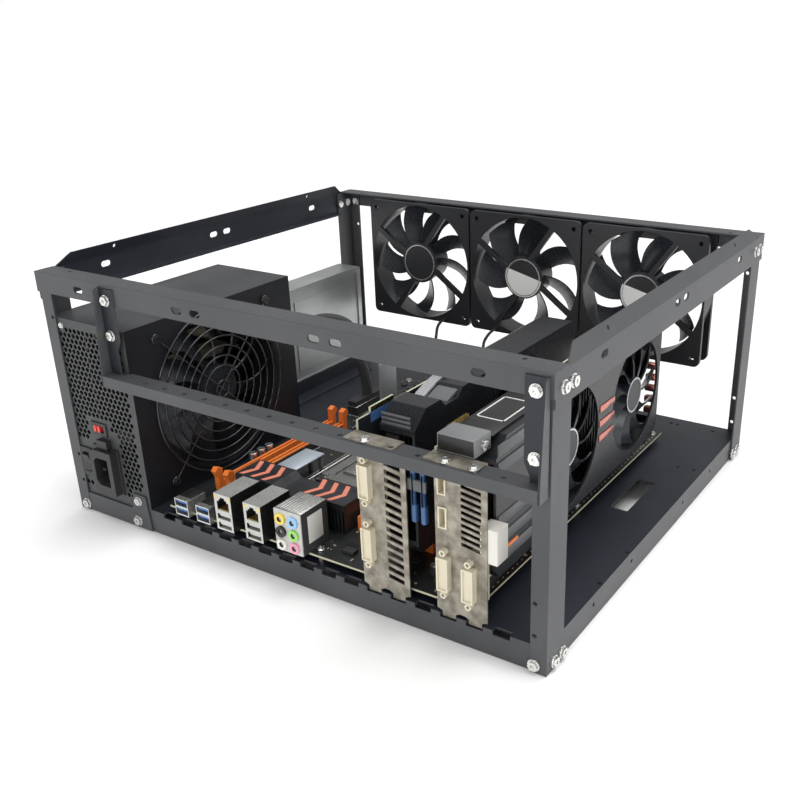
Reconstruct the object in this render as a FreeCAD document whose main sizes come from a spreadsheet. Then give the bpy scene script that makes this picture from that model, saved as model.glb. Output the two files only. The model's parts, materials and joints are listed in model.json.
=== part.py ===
import FreeCAD, Part
import math
import os
import re
import Sketcher

# Open steel frame for a computer, with the parts that stand in it.
# X runs along the front, Y from the front to the rear, Z up from the surface it stands on.
# Lengths are in millimetres and angles in degrees.

SIZES = {
    # frame
    "frame_width": 450.0,
    "frame_depth": 394.0,
    "frame_height": 206.0,
    "sheet": 1.5,
    "origin_shift": 3.85,
    "post_front_leg": 13.5,
    "post_side_leg": 25.0,
    "rail_drop": 16.0,
    "rail_shelf": 18.0,
    "side_rail_drop": 21.0,
    "side_rail_lip": 8.0,
    "side_rail_lean": 4.1,
    "side_rail_rise": 10.0,
    "side_rail_corner": 14.0,
    "slot_length": 10.0,
    "slot_width": 5.0,
    "slot_drop": 8.7,
    "slot_outer": 175.5,
    "slot_inner": 61.8,
    "slot_gap": 17.6,
    "side_slot_outer": 131.0,
    "side_slot_inner": 8.5,
    "rail_hole_x": 199.0,
    "small_hole": 1.6,
    # tray
    "deck_height": 20.0,
    "window_x": 187.0,
    "window_y": 27.0,
    "window_width": 15.0,
    "window_length": 58.0,
    "notch_width": 13.0,
    "notch_depth": 3.5,
    # card openings
    "slot_pitch": 20.32,
    "slot_count": 16.0,
    "first_hole_x": -109.0,
    "card_hole": 1.9,
    "tongue_offset": 6.2,
    "shelf_height": 137.0,
    "shelf_hole_y": 9.5,
    "shelf_depth": 15.0,
    "shelf_lip": 9.0,
    "hanger_depth": 10.5,
    "hanger_top_depth": 5.5,
    "hanger_plate": 15.5,
    "left_hanger_x": -151.0,
    "right_hanger_x": 222.5,
    # screws
    "screw_radius": 2.0,
    "screw_clearance": 0.1,
    "head_radius": 4.4,
    "head_height": 2.8,
    "nut_across": 7.0,
    "nut_height": 2.6,
    "corner_screw": 10.5,
    "hanger_screw": 8.0,
    "post_screw_near": 11.5,
    "post_screw_far": 23.0,
    "post_screw_top": 194.5,
    "post_screw_low": 6.0,
    # power supply
    "psu_width": 86.0,
    "psu_height": 150.0,
    "psu_depth": 184.0,
    "psu_sheet": 1.0,
    "psu_left": -221.5,
    "psu_hole_across": 3.7,
    "psu_hole_pitch": 5.0,
    "psu_fan_side": 140.0,
    "psu_fan_open": 68.0,
    "psu_fan_y": 90.0,
    "grill_wire": 1.6,
    # fans
    "fan_side": 120.0,
    "fan_thick": 25.0,
    "fan_bore": 58.0,
    "fan_flange": 4.0,
    "fan_hub": 20.0,
    "fan_tip": 56.4,
    "fan_hole": 2.15,
    "fan_hole_pitch": 105.0,
    "fan_row_x": 4.0,
    "fan_pitch": 122.0,
    "fan_drop": 0.5,
    "shaft_radius": 1.5,
    "shaft_clearance": 0.05,
    # main board
    "board_width": 285.0,
    "board_depth": 330.0,
    "board_thick": 1.6,
    "board_left": -119.0,
    "board_front": 9.0,
    "standoff": 5.0,
    # cards
    "bracket_height": 120.0,
    "bracket_sheet": 1.0,
    "bracket_slot": 18.42,
    "card_a_slot": 10.0,
    "card_b_slot": 13.0,
    "card_a_length": 257.0,
    "card_b_length": 297.0,
    "card_a_top": 145.0,
    "card_b_top": 140.0,
    "card_fan_open": 46.0,
    "card_fan_tip": 44.2,
    "card_fan_hub": 15.0,
    # drive
    "drive_length": 147.0,
    "drive_height": 101.6,
    "drive_thick": 26.1,
    "drive_right": -195.0,
    "drive_base": 30.0,
    "drive_rear": 168.0,
}

doc = FreeCAD.newDocument("OpenFrameComputer")
sheet = doc.addObject("Spreadsheet::Sheet", "Sizes")
for row, (alias, number) in enumerate(SIZES.items(), start=1):
    sheet.set("A%d" % row, alias)
    sheet.set("B%d" % row, str(number))
    sheet.setAlias("B%d" % row, alias)
doc.recompute()

PARTS = []
WORD = re.compile(r"[a-z_]{4,}")


def get(alias):
    return float(sheet.get(alias))


def bound(text):
    """Expression text with each size's name pointing at its cell."""
    return WORD.sub(lambda word: "Sizes." + word.group(0), text)


def number(text):
    """The same expression worked out now."""
    return float(FreeCAD.Units.parseQuantity(WORD.sub(lambda word: "(%r)" % get(word.group(0)), text)).Value)


# Bodies made from sketches

PLANE_SIGN = {"XY_Plane": "", "XZ_Plane": "-", "YZ_Plane": ""}


def new_body(label):
    body = doc.addObject("PartDesign::Body", label)
    body.Label = label
    PARTS.append(body)
    return body


def draw_slot(sketch, place, x, y):
    """A slot with round ends around x, y: two straight sides joined by two half circles."""
    near = "(%s) - (slot_length - slot_width) / 2" % x
    far = "(%s) + (slot_length - slot_width) / 2" % x
    low = "(%s) - slot_width / 2" % y
    high = "(%s) + slot_width / 2" % y
    corners = [FreeCAD.Vector(number(a), number(b), 0)
               for a, b in ((near, low), (far, low), (far, high), (near, high))]
    radius = number("slot_width / 2")
    upright = FreeCAD.Vector(0, 0, 1)
    far_circle = Part.Circle(FreeCAD.Vector(number(far), number(y), 0), upright, radius)
    near_circle = Part.Circle(FreeCAD.Vector(number(near), number(y), 0), upright, radius)
    lower = sketch.addGeometry(Part.LineSegment(corners[0], corners[1]), False)
    far_end = sketch.addGeometry(Part.ArcOfCircle(far_circle, -math.pi / 2, math.pi / 2), False)
    upper = sketch.addGeometry(Part.LineSegment(corners[2], corners[3]), False)
    near_end = sketch.addGeometry(Part.ArcOfCircle(near_circle, math.pi / 2, 3 * math.pi / 2), False)
    for first, second in ((lower, far_end), (far_end, upper), (upper, near_end), (near_end, lower)):
        sketch.addConstraint(Sketcher.Constraint("Coincident", first, 2, second, 1))
    place(lower, 1, near, low)
    place(lower, 2, far, low)
    place(upper, 1, far, high)
    place(upper, 2, near, high)
    for end, text in ((far_end, far), (near_end, near)):
        index = sketch.addConstraint(Sketcher.Constraint("DistanceX", -1, 1, end, 3, number(text)))
        sketch.setExpression("Constraints[%d]" % index, bound(text))


def draw(body, name, role, offset, outlines=(), circles=(), slots=()):
    """A sketch on one of the body's own planes. Every corner and radius is bound to the sheet."""
    sketch = body.newObject("Sketcher::SketchObject", name)
    plane = [item for item in body.Origin.OriginFeatures if item.Role == role][0]
    sketch.AttachmentSupport = [(plane, "")]
    sketch.MapMode = "FlatFace"
    sketch.setExpression("AttachmentOffset.Base.z", bound("%s(%s)" % (PLANE_SIGN[role], offset)))

    def place(geometry, point, x, y):
        for kind, text in (("DistanceX", x), ("DistanceY", y)):
            index = sketch.addConstraint(Sketcher.Constraint(kind, -1, 1, geometry, point, number(text)))
            sketch.setExpression("Constraints[%d]" % index, bound(text))

    for outline in outlines:
        first = sketch.GeometryCount
        corners = [FreeCAD.Vector(number(x), number(y), 0) for x, y in outline]
        for index, corner in enumerate(corners):
            sketch.addGeometry(Part.LineSegment(corner, corners[(index + 1) % len(corners)]), False)
        for index, (x, y) in enumerate(outline):
            follower = first + (index + 1) % len(outline)
            sketch.addConstraint(Sketcher.Constraint("Coincident", first + index, 2, follower, 1))
            place(first + index, 1, x, y)
    for x, y in slots:
        draw_slot(sketch, place, x, y)
    for x, y, radius in circles:
        centre = FreeCAD.Vector(number(x), number(y), 0)
        index = sketch.addGeometry(Part.Circle(centre, FreeCAD.Vector(0, 0, 1), number(radius)), False)
        place(index, 3, x, y)
        radius_index = sketch.addConstraint(Sketcher.Constraint("Radius", index, number(radius)))
        sketch.setExpression("Constraints[%d]" % radius_index, bound(radius))
    return sketch


def pad(body, name, role, start, length, outline):
    """A solid from the plane at start, towards growing X, Y or Z."""
    feature = body.newObject("PartDesign::Pad", name)
    feature.Profile = draw(body, name + "_sketch", role, start, [outline])
    feature.setExpression("Length", bound(length))
    feature.Reversed = role == "XZ_Plane"
    doc.recompute()
    return feature


def pocket(body, name, role, middle, depth, outlines=(), circles=(), slots=()):
    """A cut of the given depth, half of it on each side of the plane at middle."""
    before = body.Shape.Volume
    feature = body.newObject("PartDesign::Pocket", name)
    feature.Profile = draw(body, name + "_sketch", role, middle, outlines, circles, slots)
    feature.setExpression("Length", bound(depth))
    feature.Midplane = True
    doc.recompute()
    if body.Shape.Volume > before - 0.1:
        raise RuntimeError(name + " cuts nothing")
    return feature


def rectangle(x_low, x_high, y_low, y_high):
    return [(x_low, y_low), (x_high, y_low), (x_high, y_high), (x_low, y_high)]


# Solids made with Part's own functions, for the forms that sketches suit badly


def vector(x, y, z):
    return FreeCAD.Vector(x, y, z)


def block(x_low, x_high, y_low, y_high, z_low, z_high):
    corner = vector(x_low, y_low, z_low)
    return Part.makeBox(x_high - x_low, y_high - y_low, z_high - z_low, corner)


def rod(radius, start, direction, length):
    return Part.makeCylinder(radius, length, start, direction)


def prism(points, direction):
    wire = Part.makePolygon(points + [points[0]])
    return Part.Face(wire).extrude(direction)


def hexagon(centre, across, direction, first, second):
    """A six-sided prism about centre; first and second span its face."""
    radius = across / math.sqrt(3.0)
    points = []
    for corner in range(6):
        angle = math.radians(60 * corner + 30)
        points.append(centre + first * (radius * math.cos(angle)) + second * (radius * math.sin(angle)))
    return prism(points, direction)


def feature(label, shape):
    item = doc.addObject("Part::Feature", label)
    item.Label = label
    item.Shape = shape.removeSplitter() if shape.ShapeType != "Compound" or len(shape.Solids) == 1 else shape
    PARTS.append(item)
    return item


X = vector(1, 0, 0)
Y = vector(0, 1, 0)
Z = vector(0, 0, 1)

SHEET = get("sheet")
FRONT = -get("frame_depth") / 2
REAR = get("frame_depth") / 2
SIDE = get("frame_width") / 2
TOP = get("frame_height")
DECK = get("deck_height")
HOLE = get("screw_radius") + get("screw_clearance")

# Tray: a pan turned upside down, whose four sides stand on the table

TRAY_X = "(frame_width / 2 - 2 * sheet)"
TRAY_Y = "(frame_depth / 2 - 2 * sheet)"


def tray_notches():
    """Openings behind the front edge that take the tongues of the card brackets."""
    notches = []
    for index in range(int(get("slot_count"))):
        middle = "first_hole_x - tongue_offset + %d * slot_pitch" % index
        notches.append(
            rectangle(
                middle + " - notch_width / 2",
                middle + " + notch_width / 2",
                "-%s - 1" % TRAY_Y,
                "-%s + 3.2 * sheet" % TRAY_Y,
            )
        )
    return notches


def make_tray():
    body = new_body("base_tray")
    pad(body, "tray_block", "XY_Plane", "0", "deck_height",
        rectangle("-" + TRAY_X, TRAY_X, "-" + TRAY_Y, TRAY_Y))
    pocket(body, "tray_hollow", "XY_Plane", "0", "2 * (deck_height - sheet)",
           [rectangle("sheet - " + TRAY_X, TRAY_X + " - sheet", "sheet - " + TRAY_Y, TRAY_Y + " - sheet")])
    pocket(body, "tray_notches", "XY_Plane", "deck_height", "2 * notch_depth", tray_notches())
    window = rectangle("window_x - window_width / 2", "window_x + window_width / 2",
                       "window_y - window_length / 2", "window_y + window_length / 2")
    loose_holes = [(200, 94), (214, 95), (219, -60), (219, -108), (161, 181), (167, 181), (201, 182)]
    holes = [("%d" % x, "%d" % y, "small_hole") for x, y in loose_holes]
    pocket(body, "tray_window", "XY_Plane", "deck_height", "4 * sheet", [window])
    pocket(body, "tray_holes", "XY_Plane", "deck_height", "4 * sheet", (), holes)
    flange_holes = [("%d" % y, "deck_height / 2 + 2", "small_hole") for y in (-123, -57, 49, 116)]
    screw_holes = []
    for sign in ("-", ""):
        for inset in ("post_screw_near", "post_screw_far"):
            screw_holes.append(("%s(frame_depth / 2 - %s)" % (sign, inset), "post_screw_low",
                                "screw_radius + screw_clearance"))
    for sign, name in (("-", "left"), ("", "right")):
        pocket(body, "tray_%s_holes" % name, "YZ_Plane", sign + TRAY_X, "6 * sheet", (),
               flange_holes + screw_holes)
    corner_holes = [("%s(frame_width / 2 - corner_screw)" % sign, "post_screw_low",
                     "screw_radius + screw_clearance")
                    for sign in ("-", "")]
    retainer_hole = ("psu_left + psu_width - 15.5", "post_screw_low + 1", "screw_radius + screw_clearance")
    pocket(body, "tray_front_holes", "XZ_Plane", "-" + TRAY_Y, "6 * sheet", (),
           corner_holes + [retainer_hole])
    pocket(body, "tray_rear_holes", "XZ_Plane", TRAY_Y, "6 * sheet", (), corner_holes)
    return body


make_tray()

# Posts: an angle at each corner, just inside the rails


def make_post(label, side, end):
    """side and end are the signs of the corner's x and y."""
    body = new_body(label)
    outer_x = "%s(frame_width / 2 - sheet)" % side
    outer_y = "%s(frame_depth / 2 - sheet)" % end
    inner_x = "%s(frame_width / 2 - 2 * sheet)" % side
    inner_y = "%s(frame_depth / 2 - 2 * sheet)" % end
    leg_x = "%s(frame_width / 2 - post_front_leg)" % side
    leg_y = "%s(frame_depth / 2 - post_side_leg)" % end
    pad(body, label + "_angle", "XY_Plane", "0", "frame_height - sheet",
        [(outer_x, outer_y), (leg_x, outer_y), (leg_x, inner_y), (inner_x, inner_y), (inner_x, leg_y),
         (outer_x, leg_y)])
    radius = "screw_radius + screw_clearance"
    side_holes = []
    for height in ("post_screw_top", "post_screw_low"):
        for inset in ("post_screw_near", "post_screw_far"):
            side_holes.append(("%s(frame_depth / 2 - %s)" % (end, inset), height, radius))
    pocket(body, label + "_side_holes", "YZ_Plane", outer_x, "6 * sheet", (), side_holes)
    middle = "%s(frame_width / 2 - corner_screw)" % side
    face_holes = [(middle, height, radius) for height in ("post_screw_top", "post_screw_low")]
    face_holes += [(middle, height, "small_hole") for height in ("28", "52", "170")]
    if label == "front_right_post":
        face_holes.append((middle, "post_screw_top - 42", radius))
    pocket(body, label + "_face_holes", "XZ_Plane", outer_y, "6 * sheet", (), face_holes)
    return body


for post_label, post_side, post_end in (
    ("front_left_post", "-", "-"),
    ("front_right_post", "", "-"),
    ("rear_left_post", "-", ""),
    ("rear_right_post", "", ""),
):
    make_post(post_label, post_side, post_end)

# Front and rear top rails: angles with slots, laid over the posts


def make_top_rail(label, end, holes):
    body = new_body(label)
    outer = "%sframe_depth / 2" % end
    inner = "%s(frame_depth / 2 - sheet)" % end
    edge = "%s(frame_depth / 2 - rail_shelf)" % end
    top = "frame_height"
    pad(body, label + "_angle", "YZ_Plane", "-frame_width / 2", "frame_width",
        [(outer, top), (outer, top + " - rail_drop"), (inner, top + " - rail_drop"),
         (inner, top + " - sheet"),
         (edge, top + " - sheet"), (edge, top)])
    slots = []
    for x in ("-slot_outer", "slot_outer"):
        slots.append((x, "frame_height - slot_drop"))
    if end == "-":
        for x in ("-slot_inner - slot_gap / 2", "-slot_inner + slot_gap / 2",
                  "slot_inner - slot_gap / 2", "slot_inner + slot_gap / 2"):
            slots.append((x, "frame_height - slot_drop"))
    pocket(body, label + "_slots", "XZ_Plane", outer, "6 * sheet", slots=slots)
    pocket(body, label + "_face_holes", "XZ_Plane", outer, "6 * sheet", (), holes)
    top_holes = [("%srail_hole_x" % sign, "%s(frame_depth / 2 - rail_shelf + 5)" % end, "small_hole")
                 for sign in ("-", "")]
    pocket(body, label + "_top_holes", "XY_Plane", top, "4 * sheet", (), top_holes)
    return body


SCREW_HOLE = "screw_radius + screw_clearance"
corner_face_holes = [("%s(frame_width / 2 - corner_screw)" % sign, "post_screw_top", SCREW_HOLE)
                     for sign in ("-", "")]
hanger_rail_holes = [("left_hanger_x + hanger_screw", "post_screw_top", SCREW_HOLE)]
FAN_CENTRE_Z = "(frame_height - sheet - fan_drop - fan_side / 2)"
fan_rail_holes = []
for fan_index in (-1, 0, 1):
    for hole_sign in ("-", "+"):
        fan_rail_holes.append((
            "fan_row_x + %d * fan_pitch %s fan_hole_pitch / 2" % (fan_index, hole_sign),
            FAN_CENTRE_Z + " + fan_hole_pitch / 2",
            SCREW_HOLE,
        ))
make_top_rail("front_top_rail", "-", corner_face_holes[1:] + hanger_rail_holes)
make_top_rail("rear_top_rail", "", corner_face_holes + fan_rail_holes)

# Side rails: a web over the posts, a lip below it and a flange that leans in above it


def make_side_rail(label, side):
    body = new_body(label)
    outer = "%sframe_width / 2" % side
    inner = "%s(frame_width / 2 - sheet)" % side
    fold = "(frame_height - sheet)"
    low = "(frame_height - sheet - side_rail_drop)"
    web_end = "(frame_depth / 2 - sheet)"
    pad(body, label + "_web", "XZ_Plane", "-" + web_end, "2 * " + web_end,
        [(outer, fold), (outer, low), (inner, low), (inner, fold)])
    lip = "%s(frame_width / 2 - side_rail_lip)" % side
    lip_end = "(frame_depth / 2 - post_side_leg - sheet)"
    pad(body, label + "_lip", "XZ_Plane", "-" + lip_end, "2 * " + lip_end,
        [(inner, low), (lip, low), (lip, low + " + sheet"), (inner, low + " + sheet")])
    lean_outer = "%s(frame_width / 2 - side_rail_lean)" % side
    lean_inner = "%s(frame_width / 2 - side_rail_lean - sheet)" % side
    flange_end = "(frame_depth / 2 - rail_shelf - 0.5)"
    high = "(frame_height - sheet + side_rail_rise)"
    pad(body, label + "_flange", "XZ_Plane", "-" + flange_end, "2 * " + flange_end,
        [(outer, fold), (inner, fold), (lean_inner, high), (lean_outer, high)])
    corners = []
    for end in ("-", ""):
        corners.append([
            ("%s(%s + 1)" % (end, flange_end), fold + " + 0.5"),
            ("%s(%s - side_rail_corner)" % (end, flange_end), high + " + 0.5"),
            ("%s(%s + 1)" % (end, flange_end), high + " + 0.5"),
        ])
    pocket(body, label + "_corners", "YZ_Plane", outer, "6 * side_rail_lip", corners)
    slots = []
    for y in ("-side_slot_outer", "-side_slot_inner", "side_slot_inner", "side_slot_outer"):
        slots.append((y, "frame_height - slot_drop"))
    pocket(body, label + "_slots", "YZ_Plane", outer, "6 * sheet", slots=slots)
    round_holes = [("%d" % y, "frame_height - sheet + side_rail_rise * 0.62", "small_hole")
                   for y in (-122, 122)]
    pocket(body, label + "_round_holes", "YZ_Plane", outer, "4 * side_rail_lip", (), round_holes)
    screw_holes = []
    for end in ("-", ""):
        for inset in ("post_screw_near", "post_screw_far"):
            screw_holes.append(("%s(frame_depth / 2 - %s)" % (end, inset), "post_screw_top", SCREW_HOLE))
    pocket(body, label + "_screw_holes", "YZ_Plane", outer, "6 * sheet", (), screw_holes)
    return body


make_side_rail("left_side_rail", "-")
make_side_rail("right_side_rail", "")

# Retainer: a strip below the power supply with a tab that is screwed to it


def make_retainer():
    body = new_body("psu_retainer")
    right = "(psu_left + psu_width)"
    left = "(post_front_leg - frame_width / 2 + 0.5)"
    pad(body, "retainer_plate", "XZ_Plane", "sheet - frame_depth / 2", "sheet",
        [(left, "0.5"), (right + " - 1", "0.5"), (right + " - 4", "deck_height + 11"),
         (right + " - 18", "deck_height + 11"), (right + " - 21", "deck_height - 3"),
         (left, "deck_height - 3")])
    holes = [(right + " - 15.5", "post_screw_low + 1", SCREW_HOLE),
             (right + " - 12", "deck_height + 5.5", SCREW_HOLE)]
    pocket(body, "retainer_holes", "XZ_Plane", "sheet - frame_depth / 2", "6 * sheet", (), holes)


make_retainer()

# Card rail: a shelf with one hole for each card, a lip down its front edge, and a hanger at each end


def make_card_rail():
    body = new_body("card_rail")
    back = "(3 * sheet - frame_depth / 2)"
    front = "(3 * sheet - frame_depth / 2 - shelf_depth)"
    left = "left_hanger_x + sheet"
    right = "right_hanger_x - sheet"
    pad(body, "card_rail_angle", "YZ_Plane", left, "%s - (%s)" % (right, left),
        [(back, "shelf_height"), (back, "shelf_height - sheet"), (front + " + sheet", "shelf_height - sheet"),
         (front + " + sheet", "shelf_height - shelf_lip"), (front, "shelf_height - shelf_lip"),
         (front, "shelf_height")])
    holes = []
    for index in range(int(get("slot_count"))):
        holes.append(("first_hole_x + %d * slot_pitch" % index, "%s - shelf_hole_y" % back, "card_hole"))
    pocket(body, "card_rail_holes", "XY_Plane", "shelf_height", "4 * sheet", (), holes)
    post_corner = rectangle("frame_width / 2 - post_front_leg - 1.5", "right_hanger_x",
                            "0.6 * sheet - frame_depth / 2", "4 * sheet - frame_depth / 2")
    psu_corner = rectangle("left_hanger_x", "psu_left + psu_width + 1.5",
                           "1.6 * sheet - frame_depth / 2", "4 * sheet - frame_depth / 2")
    pocket(body, "card_rail_corners", "XY_Plane", "shelf_height", "4 * sheet", [post_corner, psu_corner])


make_card_rail()


def make_hanger(label, wall, plate_sign, low_screw):
    """wall is the x of the flange's outer face; plate_sign points from it along the plate."""
    body = new_body(label)
    inner = "%s %s sheet" % (wall, plate_sign)
    face = "(frame_depth / 2)"
    start = wall if plate_sign == "+" else inner
    pad(body, label + "_flange", "YZ_Plane", start, "sheet",
        [("-" + face, "frame_height - 2"),
         ("-%s - hanger_top_depth" % face, "frame_height - 4"),
         ("-%s - hanger_depth" % face, "shelf_height"),
         ("-%s - hanger_depth" % face, "shelf_height - shelf_lip"),
         ("-" + face, "shelf_height - shelf_lip")])
    far_top = "%s %s hanger_plate" % (wall, plate_sign)
    far_low = "%s %s (hanger_plate - 4)" % (wall, plate_sign)
    pad(body, label + "_plate", "XZ_Plane", "-%s - sheet" % face, "sheet",
        [(wall, "shelf_height"), (far_low, "shelf_height"), (far_low, low_screw + " - 12"),
         (far_top, low_screw + " - 4"), (far_top, "frame_height - 3"), (wall, "frame_height - 3")])
    screw_x = "%s %s hanger_screw" % (wall, plate_sign)
    pocket(body, label + "_holes", "XZ_Plane", "-" + face, "6 * sheet", (),
           [(screw_x, "post_screw_top", SCREW_HOLE), (screw_x, low_screw, SCREW_HOLE)])


make_hanger("card_rail_left_hanger", "left_hanger_x", "+", "post_screw_top - 27")
make_hanger("card_rail_right_hanger", "right_hanger_x", "-", "post_screw_top - 42")

# Screws and nuts of the frame

SCREW = get("screw_radius")
HEAD = get("head_radius")
HEAD_HEIGHT = get("head_height")
CORNER_X = SIDE - get("corner_screw")
NEAR = REAR - get("post_screw_near")
FAR = REAR - get("post_screw_far")
SCREW_TOP = get("post_screw_top")
SCREW_LOW = get("post_screw_low")
LEFT_HANGER = get("left_hanger_x")
RIGHT_HANGER = get("right_hanger_x")
LEFT_SCREW_X = LEFT_HANGER + get("hanger_screw")
RIGHT_SCREW_X = RIGHT_HANGER - get("hanger_screw")
PSU_LEFT = get("psu_left")
PSU_RIGHT = PSU_LEFT + get("psu_width")
PSU_FRONT = FRONT + 2 * SHEET
PSU_BACK = PSU_FRONT + get("psu_depth")
PSU_LOW = DECK
PSU_TOP = DECK + get("psu_height")


def across(direction):
    """Two directions that span the plane square to direction."""
    first = Z if abs(direction.z) < 0.5 else X
    return first, direction.cross(first)


def screw(head_seat, direction, grip, radius=SCREW, head=HEAD, height=HEAD_HEIGHT):
    """A washer-faced screw with a hex recess; direction points from the head to the tip."""
    first, second = across(direction)
    washer = rod(head, head_seat, direction * -1, height * 0.3)
    cap = hexagon(head_seat - direction * (height * 0.3), head * 1.45, direction * (-height * 0.7), first,
                  second)
    shank = rod(radius, head_seat, direction, grip)
    recess = rod(head * 0.3, head_seat - direction * height, direction, height * 0.5)
    return washer.fuse([cap, shank]).cut(recess)


def nut(seat, direction):
    first, second = across(direction)
    whole = hexagon(seat, get("nut_across"), direction * get("nut_height"), first, second)
    return whole.cut(rod(SCREW, seat, direction, get("nut_height")))


def make_frame_screws():
    screws = []
    nuts = []

    def add(seat, direction, layers):
        screws.append(screw(seat, direction, layers * SHEET + get("nut_height")))
        nuts.append(nut(seat + direction * (layers * SHEET), direction))

    for side in (-1, 1):
        for y in (-NEAR, -FAR, FAR, NEAR):
            add(vector(side * SIDE, y, SCREW_TOP), X * -side, 2)
            add(vector(side * (SIDE - SHEET), y, SCREW_LOW), X * -side, 2)
        for end in (-1, 1):
            add(vector(side * CORNER_X, end * (REAR - SHEET), SCREW_LOW), Y * -end, 2)
        add(vector(side * CORNER_X, REAR, SCREW_TOP), Y * -1, 2)
    add(vector(RIGHT_SCREW_X, FRONT - SHEET, SCREW_TOP), Y, 3)
    add(vector(RIGHT_SCREW_X, FRONT - SHEET, SCREW_TOP - 42), Y, 3)
    add(vector(LEFT_SCREW_X, FRONT - SHEET, SCREW_TOP), Y, 2)
    add(vector(LEFT_SCREW_X, FRONT - SHEET, SCREW_TOP - 27), Y, 1)
    add(vector(PSU_RIGHT - 15.5, FRONT + SHEET, SCREW_LOW + 1), Y, 2)
    return Part.makeCompound(screws), Part.makeCompound(nuts)


frame_screws, frame_nuts = make_frame_screws()
feature("frame_screws", frame_screws)
feature("frame_nuts", frame_nuts)

# Power supply: a sheet case with a perforated front, standing on its narrow side

PSU_SHEET = get("psu_sheet")
PSU_FAN_Y = PSU_FRONT + get("psu_fan_y")
PSU_FAN_Z = (PSU_LOW + PSU_TOP) / 2
PSU_FAN_REACH = get("fan_hole_pitch") / get("fan_side") * get("psu_fan_side") / 2
INLET_X = PSU_LEFT + 42.5
INLET_Z = PSU_LOW + 26
ROCKER_X = PSU_LEFT + 17
ROCKER_Z = PSU_LOW + 27
SELECTOR_X = PSU_LEFT + 38.5
SELECTOR_Z = PSU_LOW + 61
PSU_SCREW_X = PSU_LEFT + 13.5
PSU_SCREW_Z = PSU_TOP - 6
LOOM_X = PSU_LEFT + 62
LOOM_Z = PSU_LOW + 88


def inside(x, z, areas):
    return any(x_low < x < x_high and z_low < z < z_high for x_low, x_high, z_low, z_high in areas)


def psu_perforation():
    """A honeycomb of holes that leaves the inlet, the rocker and the selector their own ground."""
    kept = [
        (INLET_X - 18, INLET_X + 18, PSU_LOW, INLET_Z + 33),
        (PSU_LEFT, ROCKER_X + 13, PSU_LOW + 9, ROCKER_Z + 20),
        (SELECTOR_X - 13, SELECTOR_X + 13, SELECTOR_Z - 9, SELECTOR_Z + 9),
        (PSU_RIGHT - 18, PSU_RIGHT, PSU_LOW, PSU_LOW + 13),
        (PSU_SCREW_X - 5, PSU_SCREW_X + 5, PSU_SCREW_Z - 5, PSU_SCREW_Z + 5),
    ]
    pitch = get("psu_hole_pitch")
    rise = pitch * math.sqrt(3.0) / 2
    holes = []
    for row in range(int((get("psu_height") - 14) / rise) + 1):
        z = PSU_LOW + 7 + row * rise
        shift = pitch / 2 if row % 2 else 0.0
        for column in range(int((get("psu_width") - 12) / pitch) + 1):
            x = PSU_LEFT + 6 + shift + column * pitch
            if x < PSU_RIGHT - 5 and not inside(x, z, kept):
                holes.append(hexagon(vector(x, PSU_FRONT - 1, z), get("psu_hole_across"), Y * 3, Z, X))
    return Part.makeCompound(holes)


def make_psu_case():
    low = PSU_LOW + PSU_SHEET
    high = PSU_TOP - PSU_SHEET
    right = PSU_RIGHT - PSU_SHEET
    front = block(PSU_LEFT, right, PSU_FRONT, PSU_FRONT + PSU_SHEET, low, high)
    side = block(PSU_LEFT, PSU_LEFT + PSU_SHEET, PSU_FRONT, PSU_BACK, low, high)
    back = block(PSU_LEFT, right, PSU_BACK - PSU_SHEET, PSU_BACK, low, high)
    case = front.fuse([side, back])
    inlet_hole = block(INLET_X - 11.5, INLET_X + 11.5, PSU_FRONT - 1, PSU_FRONT + 3, INLET_Z - 16,
                       INLET_Z + 16)
    rocker_hole = block(ROCKER_X - 5.5, ROCKER_X + 5.5, PSU_FRONT - 1, PSU_FRONT + 3, ROCKER_Z - 10,
                        ROCKER_Z + 10)
    selector_hole = block(SELECTOR_X - 7, SELECTOR_X + 7, PSU_FRONT - 1, PSU_FRONT + 3, SELECTOR_Z - 4,
                          SELECTOR_Z + 4)
    screw_hole = rod(1.6, vector(PSU_RIGHT - 12, PSU_FRONT - 1, DECK + 5.5), Y, 4)
    small_hole = rod(1.3, vector(PSU_SCREW_X, PSU_FRONT - 1, PSU_SCREW_Z), Y, 4)
    loom_hole = rod(8.0, vector(LOOM_X, PSU_BACK - 3, LOOM_Z), Y, 5)
    return case.cut([inlet_hole, rocker_hole, selector_hole, screw_hole, small_hole, loom_hole,
                     psu_perforation()])


def make_psu_cover():
    right = PSU_RIGHT - PSU_SHEET
    side = block(right, PSU_RIGHT, PSU_FRONT, PSU_BACK, PSU_LOW, PSU_TOP)
    top = block(PSU_LEFT, right, PSU_FRONT, PSU_BACK, PSU_TOP - PSU_SHEET, PSU_TOP)
    bottom = block(PSU_LEFT, right, PSU_FRONT, PSU_BACK, PSU_LOW, PSU_LOW + PSU_SHEET)
    holes = [rod(get("psu_fan_open"), vector(right - 1, PSU_FAN_Y, PSU_FAN_Z), X, 3)]
    for y in (-PSU_FAN_REACH, PSU_FAN_REACH):
        for z in (-PSU_FAN_REACH, PSU_FAN_REACH):
            holes.append(rod(2.2, vector(right - 1, PSU_FAN_Y + y, PSU_FAN_Z + z), X, 3))
    return side.fuse([top, bottom]).cut(holes)


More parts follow.
